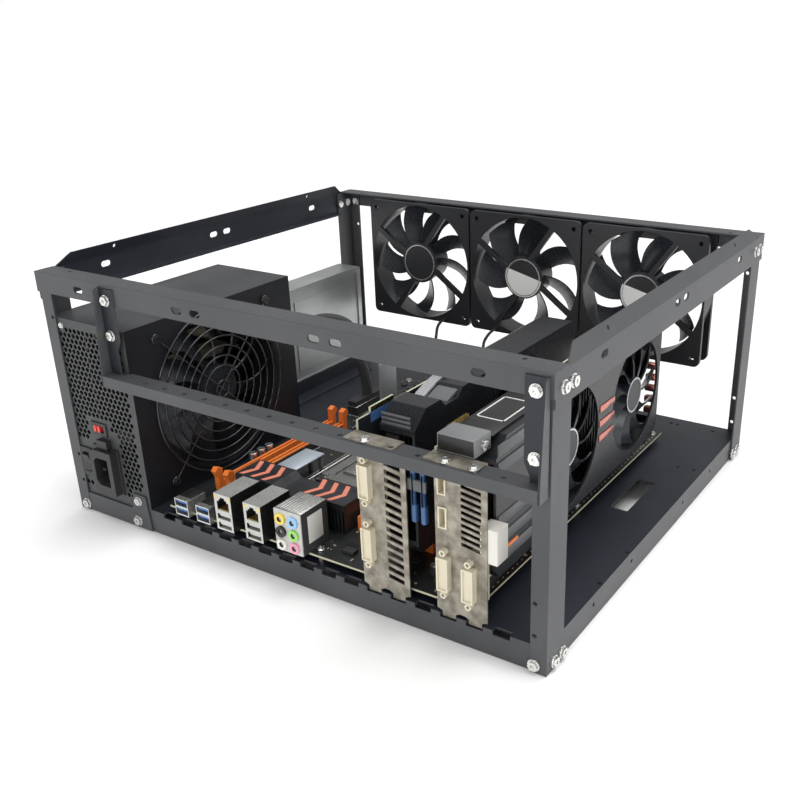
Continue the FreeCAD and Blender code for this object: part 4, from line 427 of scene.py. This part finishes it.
def dressed(name, form, finishes, body, smooth=35):
    """An object from a bmesh, with its finishes, smooth across shallow angles, riding on a body."""
    mesh = bpy.data.meshes.new(name)
    for face in form.faces:
        face.smooth = True
    form.to_mesh(mesh)
    form.free()
    mesh.set_sharp_from_angle(angle=math.radians(smooth))
    for material in finishes:
        mesh.materials.append(material)
    piece = bpy.data.objects.new(name, mesh)
    bpy.context.scene.collection.objects.link(piece)
    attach(piece, body)
    return piece


def body_holding(node):
    """The body that a node rides on: the moving nodes have a body of their own."""
    return node + "_body" if node + "_body" in frame["bodies"] else "chassis"


def loose_parts(form):
    """The faces of each loose part of a bmesh."""
    left = set(form.faces)
    parts = []
    while left:
        first = left.pop()
        part = [first]
        front = [first]
        while front:
            face = front.pop()
            for edge in face.edges:
                for near in edge.link_faces:
                    if near in left:
                        left.discard(near)
                        part.append(near)
                        front.append(near)
        parts.append(part)
    return parts


def rounded_copy(node, finishes, width, choose=None, segments=2):
    """Shows a node by a merged copy with rounded edges; choose gives the finish of each loose part."""
    form = bmesh.new()
    form.from_mesh(nodes[node].data)
    bmesh.ops.remove_doubles(form, verts=form.verts[:], dist=0.000002)
    bmesh.ops.dissolve_limit(form, angle_limit=math.radians(1.0), verts=form.verts[:], edges=form.edges[:],
                             use_dissolve_boundaries=False)
    if choose:
        for part in loose_parts(form):
            points = [v.co for face in part for v in face.verts]
            low = Vector([min(p[i] for p in points) for i in range(3)])
            high = Vector([max(p[i] for p in points) for i in range(3)])
            for face in part:
                face.material_index = choose(low, high, face)
    piece = dressed(node + "_finished", form, finishes, body_holding(node))
    if width:
        edge = piece.modifiers.new("edge", "BEVEL")
        edge.limit_method = "ANGLE"
        edge.angle_limit = math.radians(35)
        edge.width = width
        edge.segments = segments
        edge.use_clamp_overlap = True
    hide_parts(node)
    return piece


# The left side rail takes the powder coat darkened as painted shade, and the others take the plain powder coat.
for node, width in (("front_top_rail", 0.0007), ("rear_top_rail", 0.0007), ("left_side_rail", 0.0005),
                    ("right_side_rail", 0.0005), ("front_left_post", 0.0006), ("front_right_post", 0.0006),
                    ("rear_left_post", 0.0006), ("rear_right_post", 0.0006), ("card_rail", 0.0004)):
    rounded_copy(node, [painted_shade_powder_coat if node == "left_side_rail" else powder_coat], width)

# %% [markdown]
# ## The board's loose parts
# A main board carries parts in a few finishes: capacitors with a bright lid, dark coils, pale headers.
# They are one node of separate solids, so the copy gives each its finish by its place and its height.

# %% Board parts
can_metal = finish("can_metal", (0.62, 0.63, 0.64), (0.74, 0.75, 0.76), (0.22, 0.34), metal=0.95, edge=0.0003)
chip_plastic = finish("chip_plastic", (0.018, 0.018, 0.020), (0.030, 0.030, 0.033), (0.35, 0.5), edge=0.0002)
coil_ferrite = finish("coil_ferrite", (0.075, 0.078, 0.082), (0.11, 0.112, 0.118), (0.45, 0.6), edge=0.0004)
white_plastic = finish("white_plastic", (0.72, 0.70, 0.64), (0.80, 0.78, 0.72), (0.35, 0.5), edge=0.0003)
yellow_plastic = finish("yellow_plastic", (0.80, 0.58, 0.06), (0.86, 0.66, 0.12), (0.35, 0.5), edge=0.0003)
blue_plastic = finish("blue_plastic", (0.02, 0.12, 0.42), (0.03, 0.17, 0.52), (0.3, 0.45), edge=0.0002)
board_finishes = [can_metal, chip_plastic, coil_ferrite, white_plastic, yellow_plastic, blue_plastic]


def board_part_finish(low, high, face):
    middle = (low + high) / 2
    size = high - low
    round_part = len([1 for v in face.verts]) > 8 or size.x - size.y < 0.0001 and size.z > 0.0075
    if middle.x < -0.110 and middle.y < -0.05:
        return 0
    if round_part and size.z > 0.0077:
        return 0 if face.normal.z > 0.9 else 1
    if 0.0085 < size.x < 0.0095 and size.z < 0.0075:
        return 2
    if middle.x > 0.149 and middle.y > 0.0:
        return 4
    if middle.x > 0.149:
        return 3
    if size.x < 0.0105 and size.y < 0.0065 and middle.y > 0.1:
        return 3
    return 1


rounded_copy("board_parts", board_finishes, 0.0003, board_part_finish)
print("board parts finished")

# %% [markdown]
# ## Blocks, discs and rings
# Small trim is made from bmesh's own cube, cone and circle, placed in metres and bevelled.
# A few helpers keep each piece of trim to one line.

# %% Trim helpers
MM = 0.001


def add_block(form, low, high, bevel=0.0, index=0):
    """A box between two corners, in millimetres before the origin's shift, with bevelled edges."""
    middle = Vector([(a + b) / 2 * MM for a, b in zip(low, high)]) + Vector((0, SHIFT_Y, 0))
    size = [abs(b - a) * MM for a, b in zip(low, high)]
    made = bmesh.ops.create_cube(form, size=1.0, matrix=Matrix.Translation(middle) @ Matrix.Diagonal((*size,
                                                                                                      1.0)))
    faces = list({face for v in made["verts"] for face in v.link_faces})
    for face in faces:
        face.material_index = index
    if bevel:
        edges = list({edge for face in faces for edge in face.edges})
        bmesh.ops.bevel(form, geom=edges, offset=bevel * MM, offset_type="OFFSET", segments=2, profile=0.5,
                        affect="EDGES", clamp_overlap=True, material=-1)
    return made


def turned(axis):
    """The matrix that turns Z to X or Y."""
    if axis == "X":
        return Matrix.Rotation(math.pi / 2, 4, "Y")
    if axis == "Y":
        return Matrix.Rotation(-math.pi / 2, 4, "X")
    return Matrix.Identity(4)


def add_disc(form, middle, radius, thick, axis="Z", sides=48, index=0, top_radius=None):
    """A disc or a short cylinder around an axis, its middle in millimetres."""
    place = Matrix.Translation(Vector(middle) * MM + Vector((0, SHIFT_Y, 0))) @ turned(axis)
    before = set(form.faces)
    bmesh.ops.create_cone(form, cap_ends=True, cap_tris=False, segments=sides, radius1=radius * MM,
                          radius2=(top_radius if top_radius is not None else radius) * MM, depth=thick * MM, matrix=place)
    for face in set(form.faces) - before:
        face.material_index = index


def add_ring(form, middle, inner, outer, thick, axis="Z", sides=48, index=0):
    """A flat ring around an axis: its section is turned a full circle."""
    place = Matrix.Translation(Vector(middle) * MM + Vector((0, SHIFT_Y, 0))) @ turned(axis)
    half = thick / 2 * MM
    corners = [(inner * MM, -half), (outer * MM, -half), (outer * MM, half), (inner * MM, half)]
    points = [form.verts.new((x, 0, z)) for x, z in corners]
    edges = [form.edges.new((points[i], points[(i + 1) % 4])) for i in range(4)]
    before = set(form.faces)
    bmesh.ops.spin(form, geom=points + edges, cent=(0, 0, 0), axis=(0, 0, 1), angle=2 * math.pi, steps=sides,
                   use_merge=True)
    made = list(set(form.faces) - before)
    bmesh.ops.recalc_face_normals(form, faces=made)
    verts = list({v for face in made for v in face.verts})
    bmesh.ops.transform(form, matrix=place, verts=verts)
    for face in made:
        face.material_index = index


def add_strip(form, points, low_x, high_x, thick, index=0):
    """A smooth strip between two X places that follows points in the Y-Z plane, in millimetres."""
    rows = []
    for number, (y, z) in enumerate(points):
        before = points[max(number - 1, 0)]
        after = points[min(number + 1, len(points) - 1)]
        along = Vector((after[0] - before[0], after[1] - before[1])).normalized()
        across = Vector((-along.y, along.x)) * thick / 2
        corners = ((low_x, y - across.x, z - across.y), (high_x, y - across.x, z - across.y),
                   (high_x, y + across.x, z + across.y), (low_x, y + across.x, z + across.y))
        rows.append([form.verts.new(Vector(corner) * MM + Vector((0, SHIFT_Y, 0))) for corner in corners])
    faces = [form.faces.new(rows[0]), form.faces.new(rows[-1])]
    for first, second in zip(rows, rows[1:]):
        for side in range(4):
            near = (side + 1) % 4
            faces.append(form.faces.new((first[side], first[near], second[near], second[side])))
    bmesh.ops.recalc_face_normals(form, faces=faces)
    for face in faces:
        face.material_index = index


# %% [markdown]
# ## Sound, serial and network sockets
# The sound jacks are told apart by coloured rings, a common code, and the serial sockets by blue tongues.
# Each ring is a turned section that sits just outside the black block.

# %% Sockets
lime_plastic = finish("lime_plastic", (0.25, 0.62, 0.10), (0.32, 0.70, 0.14), (0.3, 0.45))
pink_plastic = finish("pink_plastic", (0.78, 0.28, 0.40), (0.84, 0.36, 0.48), (0.3, 0.45))
pale_blue_plastic = finish("pale_blue_plastic", (0.22, 0.48, 0.78), (0.30, 0.56, 0.84), (0.3, 0.45))
gold_plate = finish("gold_plate", (0.83, 0.60, 0.20), (0.90, 0.68, 0.28), (0.18, 0.3), metal=1.0)
jet_plastic = finish("jet_plastic", (0.01, 0.01, 0.01), (0.02, 0.02, 0.02), (0.3, 0.45))
ring_finishes = [yellow_plastic, pale_blue_plastic, jet_plastic, lime_plastic, white_plastic, pink_plastic]
form = bmesh.new()
for number, (x, z) in enumerate(((7.5, 53.6), (19.5, 53.6), (7.5, 43.1), (19.5, 43.1), (7.5, 32.6),
                                 (19.5, 32.6))):
    add_ring(form, (x, -196.1, z), 2.15, 4.4, 3.1, axis="Y", sides=40, index=number)
dressed("jack_rings", form, ring_finishes, "chassis")

form = bmesh.new()
for x in (-103.5, -80.5):
    for z in (1.2, 8.2):
        add_block(form, (x + 1.8, -195.1, 26.6 + z + 2.5), (x + 12.2, -184.2, 26.6 + z + 4.4), 0.2)
dressed("serial_tongues", form, [blue_plastic], "chassis")

form = bmesh.new()
for x in (-58.7, -28.9):
    for side in (0.6, 14.2):
        add_block(form, (x + side, -196.25, 26.6 + 26.6), (x + side + 2.2, -195.9, 26.6 + 29.0), 0.1)
    for step in range(8):
        add_block(form, (x + 3.6 + 1.25 * step, -195.6, 26.6 + 17.1),
                  (x + 4.0 + 1.25 * step, -184, 26.6 + 17.9), 0.0,
                  1)
dressed("network_lights_and_pins", form, [yellow_plastic, gold_plate], "chassis")
form = bmesh.new()
for x in (-103.5, -80.5):
    add_block(form, (x + 0.1, -191.0, 26.8), (x + 13.9, -176.5, 40.85), 0.1)
dressed("usb_black_bodies", form, [jet_plastic], "chassis")

# %% The audio block's face, lid and side
pale_face = finish("pale_face", (0.50, 0.50, 0.48), (0.58, 0.58, 0.56), (0.45, 0.6), edge=0.0002)
form = bmesh.new()
add_block(form, (1.1, -195.6, 26.8), (25.9, -194.4, 60.5), 0.15)
dressed("audio_face", form, [pale_face], "chassis")
form = bmesh.new()
add_block(form, (1.3, -194.0, 60.45), (25.7, -166.4, 60.75), 0.1)
for step in range(9):
    add_block(form, (2.2 + 2.55 * step, -193, 60.7), (3.5 + 2.55 * step, -168, 61.0), 0.1)
dressed("audio_lid", form, [shell_metal], "chassis")
form = bmesh.new()
add_block(form, (25.95, -188, 34), (26.2, -172, 56), 0.05)
dressed("audio_side_label", form, [white_plastic], "chassis")
print("sockets dressed")

# %% [markdown]
# ## The regulator's heat sink
# The long black bar behind the sockets carries plain slanted stripes in a soft red.
# A pale plate on four feet stands behind it.

# %% Heat sink trim
salmon_paint = finish("salmon_paint", (0.66, 0.20, 0.13), (0.72, 0.25, 0.17), (0.4, 0.55))
pale_plate = finish("pale_plate", (0.48, 0.54, 0.60), (0.56, 0.62, 0.68), (0.28, 0.42), metal=0.5,
                    edge=0.0003)
form = bmesh.new()
for start in (-74.0, -8.0):
    for step in range(3):
        before = set(form.verts)
        x = start + 11.5 * step
        add_block(form, (x, -152, 50.55), (x + 4.2, -140, 50.8), 0.0)
        add_block(form, (x, -140, 50.55), (x + 4.2, -127, 50.8), 0.0)
        for v in set(form.verts) - before:
            depth = (v.co.y - SHIFT_Y) / MM + 140
            v.co.x += (4.0 - abs(depth) * 0.45) * MM
dressed("heat_sink_stripes", form, [salmon_paint], "chassis")
form = bmesh.new()
add_block(form, (-66, -120, 44.9), (-46, -82, 46.2), 0.4, 0)
for x in (-62, -50):
    for y in (-116, -86):
        add_block(form, (x, y, 26.6), (x + 3, y + 3, 45.0), 0.3, 1)
dressed("regulator_plate", form, [pale_plate, coil_ferrite], "chassis")

# %% [markdown]
# ## Fan labels
# A fan's motor has a round paper label on the side of its struts. The maker's words are left off, and the
# label's halves and its silver ring stay, because they are what the eye finds first.

# %% Fan labels
label_paper = finish("label_paper", (0.70, 0.70, 0.68), (0.76, 0.76, 0.74), (0.45, 0.6))
label_dark = finish("label_dark", (0.015, 0.016, 0.018), (0.025, 0.026, 0.028), (0.3, 0.42))
silver_film = finish("silver_film", (0.60, 0.61, 0.62), (0.72, 0.73, 0.74), (0.22, 0.34), metal=0.9)
for number, x in enumerate((-118.0, 4.0, 126.0), start=1):
    form = bmesh.new()
    add_disc(form, (x, 170.35, 144), 19.6, 0.3, axis="Y", sides=64)
    if number > 1:
        bmesh.ops.bisect_plane(form, geom=form.verts[:] + form.edges[:] + form.faces[:], dist=1e-7,
                               plane_co=(x * MM, 0, 0.1475), plane_no=(0.25, 0, 1))
        for face in form.faces:
            middle = face.calc_center_median()
            face.material_index = 2 if (middle.z - 0.1475) + 0.25 * (middle.x - x * MM) < 0 else 0
    add_ring(form, (x, 170.2, 144), 17.4, 18.6, 0.3, axis="Y", sides=64, index=1)
    dressed("fan_label_%d" % number, form, [label_dark, silver_film, label_paper], "chassis")
print("fan labels:", number)

# %% [markdown]
# ## The cards' trim
# Each fan has a silver ring in its hub, and the heat pipes show as copper bars between the fans.
# The hub rings ride on their rotors, so they turn with the blades. The rest is still.

# %% Cards
copper_pipe = finish("copper_pipe", (0.62, 0.24, 0.19), (0.72, 0.32, 0.25), (0.22, 0.36), metal=0.85,
                     edge=0.0003)
grey_box = finish("grey_box", (0.20, 0.205, 0.21), (0.27, 0.275, 0.28), (0.35, 0.5), edge=0.0005)
grey_plate = finish("grey_plate", (0.24, 0.245, 0.25), (0.31, 0.315, 0.32), (0.34, 0.48), metal=0.4,
                    edge=0.0004)
blue_sleeve = finish("blue_sleeve", (0.03, 0.08, 0.20), (0.06, 0.14, 0.32), (0.25, 0.4), edge=0.0004)
slate_plastic = finish("slate_plastic", (0.085, 0.088, 0.092), (0.12, 0.123, 0.128), (0.36, 0.5), edge=0.0004)
for node in ("card_a_fan_rotor", "card_b_fan_rotor_1", "card_b_fan_rotor_2"):
    low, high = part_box(node)
    middle = (low + high) / 2
    face_x = high.x / MM
    y = middle.y / MM - SHIFT_Y / MM
    form = bmesh.new()
    add_ring(form, (face_x + 0.15, y, 98.0), 13.2, 14.4, 0.3, axis="X", sides=64, index=0)
    add_disc(form, (face_x + 0.1, y, 98.0), 12.4, 0.2, axis="X", sides=48, index=1)
    dressed(node + "_ring", form, [silver_film, label_dark], body_holding(node))

form = bmesh.new()
for z in (84.0, 96.0, 108.0):
    add_block(form, (175.5, -22, z), (176.6, 4, z + 5.2), 0.8)
for z in (62.0, 72.0, 82.0, 92.0, 102.0):
    add_block(form, (163, 98.6, z), (172, 104.5, z + 5.5), 1.2)
dressed("card_b_pipes", form, [copper_pipe], "chassis")

form = bmesh.new()
add_block(form, (142, -191.3, 138.1), (169.5, -172, 150), 0.5, 0)
add_block(form, (142.8, -191.45, 139), (168.7, -191.1, 149.3), 0.1, 4)
add_disc(form, (170.3, -181, 143.5), 3.4, 2.2, axis="X", sides=28, index=1)
add_block(form, (171.3, -183.6, 143.1), (171.7, -178.4, 143.9), 0.0, 0)
add_block(form, (142, -171.5, 145.0), (170, -100, 146.6), 0.4, 4)
for low, high in (((145, -150, 146.5), (166, -149, 146.9)), ((145, -113, 146.5), (166, -112, 146.9)),
                  ((145, -150, 146.5), (146, -112, 146.9)), ((165, -150, 146.5), (166, -112, 146.9))):
    add_block(form, low, high, 0.0, 3)
for z in (56.0, 70.0, 84.0, 122.0, 134.0):
    add_block(form, (175.6, -175, z), (176.6, -128, z + 8.0), 0.4, 2)
dressed("card_b_top_plates", form, [grey_box, nickel, slate_plastic, label_paper, jet_plastic], "chassis")

form = bmesh.new()
add_block(form, (172.5, -191.45, 67), (185.5, -178.0, 92), 0.5, 0)
add_block(form, (172, -163, 56), (176.5, -148, 66), 0.8, 1)
dressed("card_b_rear_blocks", form, [white_plastic, orange_plastic], "chassis")

form = bmesh.new()
for x in (119.5, 127.0):
    for low, high in ((80, 118), (92, 126)):
        add_block(form, (x, -190.9, low), (x + 4.2, -186.0, high), 1.6, 0)
add_block(form, (117.5, -190.9, 104), (132, -188.9, 112), 0.5, 1)
dressed("card_a_blue_sleeves", form, [blue_sleeve, slate_plastic], "chassis")

form = bmesh.new()
for step in range(17):
    y = -176.6 + 1.42 * step
    for x in (79.1, 80.75):
        add_block(form, (x, y, 145.4), (x + 0.15, y + 0.9, 148.8), 0.0)
for step in range(17):
    y = -176.6 + 1.42 * step
    for x in (140.05, 141.7):
        add_block(form, (x, y, 145.4), (x + 0.15, y + 0.9, 148.8), 0.0)
for x in (79.1, 80.75, 140.05, 141.7):
    for step in range(40):
        y = -141.5 + 2.1 * step
        if y < -57.5:
            add_block(form, (x, y, 38.4), (x + 0.12, y + 1.2, 41.0), 0.0)
dressed("card_contacts", form, [gold_plate], "chassis")

form = bmesh.new()
ARC_STEPS = 40
trim_line = [(-154 + 52 * step / ARC_STEPS, 137.5 + 14.5 * math.sin(step / ARC_STEPS * math.pi / 2))
             for step in range(ARC_STEPS + 1)]
add_strip(form, trim_line, 87.5, 95.5, 1.6, 0)
add_strip(form, [(y, z - 3.0) for y, z in trim_line], 95.6, 112.0, 2.0, 1)
for step in range(3):
    add_block(form, (89, -177.2, 139.5 + 3.2 * step), (112, -176.4, 141.3 + 3.2 * step), 0.2, 1)
add_block(form, (78.95, -178, 138.2), (80.95, -151, 145.3), 0.0, 2)
dressed("card_a_trim", form, [silver_film, slate_plastic, blue_sleeve], "chassis")
print("cards dressed")

# %% [markdown]
# ## Leads
# A lead is a fixed length of something that bends. Its line is a smooth curve through a few chosen points:
# straight out of the grommet or the fan, down under its own weight, and straight into its socket.
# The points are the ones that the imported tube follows, so the dressed lead lies where its solid lies.

# %% Leads
sleeve = bpy.data.materials.new("woven_sleeve")
sleeve.use_nodes = True
sleeve_tree = sleeve.node_tree
sleeve_shader = sleeve_tree.nodes["Principled BSDF"]
sleeve_uv = sleeve_tree.nodes.new("ShaderNodeTexCoord")
sleeve_wave = sleeve_tree.nodes.new("ShaderNodeTexWave")
sleeve_wave.bands_direction = "DIAGONAL"
sleeve_wave.inputs["Scale"].default_value = 330.0
sleeve_wave.inputs["Distortion"].default_value = 0.6
sleeve_tree.links.new(sleeve_uv.outputs["Object"], sleeve_wave.inputs["Vector"])
sleeve_tree.links.new(mixed(sleeve_tree, sleeve_wave.outputs["Fac"], (0.010, 0.010, 0.011),
                            (0.045, 0.046, 0.05)),
                      sleeve_shader.inputs["Base Color"])
sleeve_bump = sleeve_tree.nodes.new("ShaderNodeBump")
sleeve_bump.inputs["Strength"].default_value = 0.7
sleeve_bump.inputs["Distance"].default_value = 0.0003
sleeve_tree.links.new(sleeve_wave.outputs["Fac"], sleeve_bump.inputs["Height"])
sleeve_tree.links.new(sleeve_bump.outputs["Normal"], sleeve_shader.inputs["Normal"])
sleeve_shader.inputs["Roughness"].default_value = 0.55


def lead(name, points, radius, finish_of_lead):
    """A smooth cord that follows its chosen points, in millimetres before the origin's shift."""
    curve = bpy.data.curves.new(name, "CURVE")
    curve.dimensions = "3D"
    curve.bevel_depth = radius * MM
    curve.bevel_resolution = 4
    curve.resolution_u = 16
    curve.use_fill_caps = True
    spline = curve.splines.new("NURBS")
    spline.points.add(len(points) - 1)
    for point, (x, y, z) in zip(spline.points, points):
        point.co = (x * MM, y * MM + SHIFT_Y, z * MM, 1.0)
    spline.order_u = 3
    spline.use_endpoint_u = True
    curve.materials.append(finish_of_lead)
    piece = bpy.data.objects.new(name, curve)
    bpy.context.scene.collection.objects.link(piece)
    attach(piece, "chassis")
    return piece


LOOM = [(-159.5, -7.5, 108), (-159.5, 20.5, 108), (-145.5, 46.5, 116), (-125.5, 64.5, 106), (-113, 52, 84),
        (-107, 58, 55.6), (-107, 58, 39.6)]
loom = lead("power_loom_sleeve", LOOM, 5.0, sleeve)
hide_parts("power_loom")

FAN_HEADERS = ((-60.0, 108.0), (14.0, 120.0), (56.0, 118.0))
for number, fan_x in enumerate((-118.0, 4.0, 126.0)):
    side = 1 if number == 0 else -1
    start = Vector((fan_x + side * 30, 170.5, 88))
    x, y = FAN_HEADERS[number]
    route = [tuple(start), tuple(start + Vector((0, -14, 0))), tuple(start + Vector((side * 4, -24, -14))),
             ((2 * start.x + x) / 3, (start.y - 24 + y) / 2 + 4, 32.6 + 0.38 * (88 - 32.6)), (x, y, 48.6), (x, y, 32.6)]
    fan_lead = lead("fan_lead_%d" % (number + 1), route, 1.5, cable_cover)
    if number == 0:
        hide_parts("fan_leads")
print("leads:", 1 + len(FAN_HEADERS))

# %% [markdown]
# ## White print and small parts
# A board is full of parts the size of a grain of rice, with thin white print around them.
# Their places come from seeded chance, kept off the large parts, so each run gives the same board.

# %% Small parts on the board
random.seed(11)
taken = []
for node in ("cpu_socket", "vrm_heatsink", "usb_ports", "network_ports", "audio_ports", "memory_slots",
             "card_slots", "loom_plug", "socket_lever"):
    form = bmesh.new()
    form.from_mesh(nodes[node].data)
    bmesh.ops.remove_doubles(form, verts=form.verts[:], dist=0.000002)
    for part in loose_parts(form):
        xs = [v.co.x / MM for face in part for v in face.verts]
        ys = [(v.co.y - SHIFT_Y) / MM for face in part for v in face.verts]
        taken.append((min(xs), min(ys), max(xs), max(ys)))
    form.free()
form = bmesh.new()
form.from_mesh(nodes["board_parts"].data)
bmesh.ops.remove_doubles(form, verts=form.verts[:], dist=0.000002)
for part in loose_parts(form):
    xs = [v.co.x / MM for face in part for v in face.verts]
    ys = [(v.co.y - SHIFT_Y) / MM for face in part for v in face.verts]
    taken.append((min(xs), min(ys), max(xs), max(ys)))
form.free()
board_top = 26.6


def free_place(x, y, wide, deep, room=0.8):
    for x_low, y_low, x_high, y_high in taken:
        if x_low - room < x + wide and x < x_high + room and y_low - room < y + deep and y < y_high + room:
            return False
    return -117 < x and x + wide < 164 and -186 < y and y + deep < 140


form = bmesh.new()
placed_parts = 0
for attempt in range(1500):
    if placed_parts == 420:
        break
    kind = random.random()
    if kind < 0.62:
        wide, deep, tall, index = 1.0, 2.0, 0.7, random.choice((0, 0, 1))
    elif kind < 0.86:
        wide, deep, tall, index = 1.6, 3.0, 0.9, random.choice((0, 1, 2))
    elif kind < 0.95:
        wide, deep, tall, index = 5.0, 5.0, 1.1, 0
    else:
        wide, deep, tall, index = 8.0, 6.0, 1.3, 0
    if random.random() < 0.5:
        wide, deep = deep, wide
    x = random.uniform(-117, 164)
    y = random.uniform(-186, 140)
    if not free_place(x, y, wide, deep):
        continue
    taken.append((x, y, x + wide, y + deep))
    add_block(form, (x, y, board_top), (x + wide, y + deep, board_top + tall), 0.0, index)
    if wide < 2.1 and deep < 3.1 or wide < 3.1 and deep < 2.1:
        along_y = deep > wide
        for end in (0, 1):
            if along_y:
                y_end = y - 0.05 if end == 0 else y + deep - 0.35
                low, high = (x - 0.05, y_end, board_top), (x + wide + 0.05, y_end + 0.4, board_top + tall + 0.05)
            else:
                x_end = x - 0.05 if end == 0 else x + wide - 0.35
                low, high = (x_end, y - 0.05, board_top), (x_end + 0.4, y + deep + 0.05, board_top + tall + 0.05)
            add_block(form, low, high, 0.0, 3)
    placed_parts += 1
tan_ceramic = finish("tan_ceramic", (0.30, 0.22, 0.15), (0.38, 0.28, 0.19), (0.4, 0.55))
dressed("board_small_parts", form, [chip_plastic, tan_ceramic, coil_ferrite, nickel], "chassis")
print("small parts:", placed_parts)

# %% White print on the board
print_white = finish("print_white", (0.62, 0.62, 0.60), (0.72, 0.72, 0.70), (0.5, 0.65))


def add_frame(form, x0, y0, x1, y1, z, line=0.35):
    """A thin printed rectangle lying on the board."""
    for low, high in (((x0, y0), (x1, y0 + line)), ((x0, y1 - line), (x1, y1)), ((x0, y0), (x0 + line, y1)),
                      ((x1 - line, y0), (x1, y1))):
        add_block(form, (*low, z - 0.02), (*high, z + 0.04))


form = bmesh.new()
for x0, y0, x1, y1 in ((-56, -104, 26, -22), (-96, -148, -86, -1), (-109, -148, -99, -1), (64, 24, 110, 70),
                       (-54, 36, -16, 74), (-88, 56, -68, 76), (-116, 30, -98, 86), (126, -44, 138, -24),
                       (147, 18, 159, 56), (-66, 104, -54, 112), (8, 116, 20, 124), (50, 114, 62, 122)):
    add_frame(form, x0, y0, x1, y1, board_top)
for step in range(60):
    x = -116 + 4.6 * step
    add_block(form, (x, 136.5, board_top - 0.02), (x + 1.6, 137.0, board_top + 0.04))
for step in range(46):
    y = -180 + 6.8 * step
    add_block(form, (162.6, y, board_top - 0.02), (163.1, y + 2.2, board_top + 0.04))
dressed("board_print", form, [print_white], "chassis")

# %% Pin headers along the rear of the board
form = bmesh.new()
for start, count, colour in ((-90, 10, 0), (-30, 9, 1), (30, 9, 2), (78, 9, 0), (112, 9, 1)):
    add_block(form, (start, 128, board_top), (start + 2.54 * count, 133.1, board_top + 2.5), 0.2, colour)
    for pin in range(count):
        for row in (129.3, 131.8):
            x = start + 1.27 + 2.54 * pin
            add_block(form, (x - 0.32, row - 0.32, board_top + 2.4), (x + 0.32, row + 0.32, board_top + 8.4),
                      0.0, 3)
dressed("pin_headers", form, [socket_plastic, blue_plastic, yellow_plastic, gold_plate], "chassis")

# %% The processor's lid, the slots' dark bodies and a few tall pieces
form = bmesh.new()
add_block(form, (-28, -81, 33.0), (2, -45, 33.45), 0.4)
dressed("processor_lid", form, [nickel], "chassis")

form = bmesh.new()
INNER_SLOT_X = -91.0
add_block(form, (INNER_SLOT_X - 3.4, -142, 26.7), (INNER_SLOT_X + 3.4, -7, 33.6), 0.3)
dressed("memory_slot_dark_body", form, [socket_plastic], "chassis")

form = bmesh.new()
add_block(form, (-66.5, 24, 26.7), (-63.5, 48, 88), 0.4)
dressed("upright_grey_plate", form, [grey_plate], "chassis")
print("board dressed")
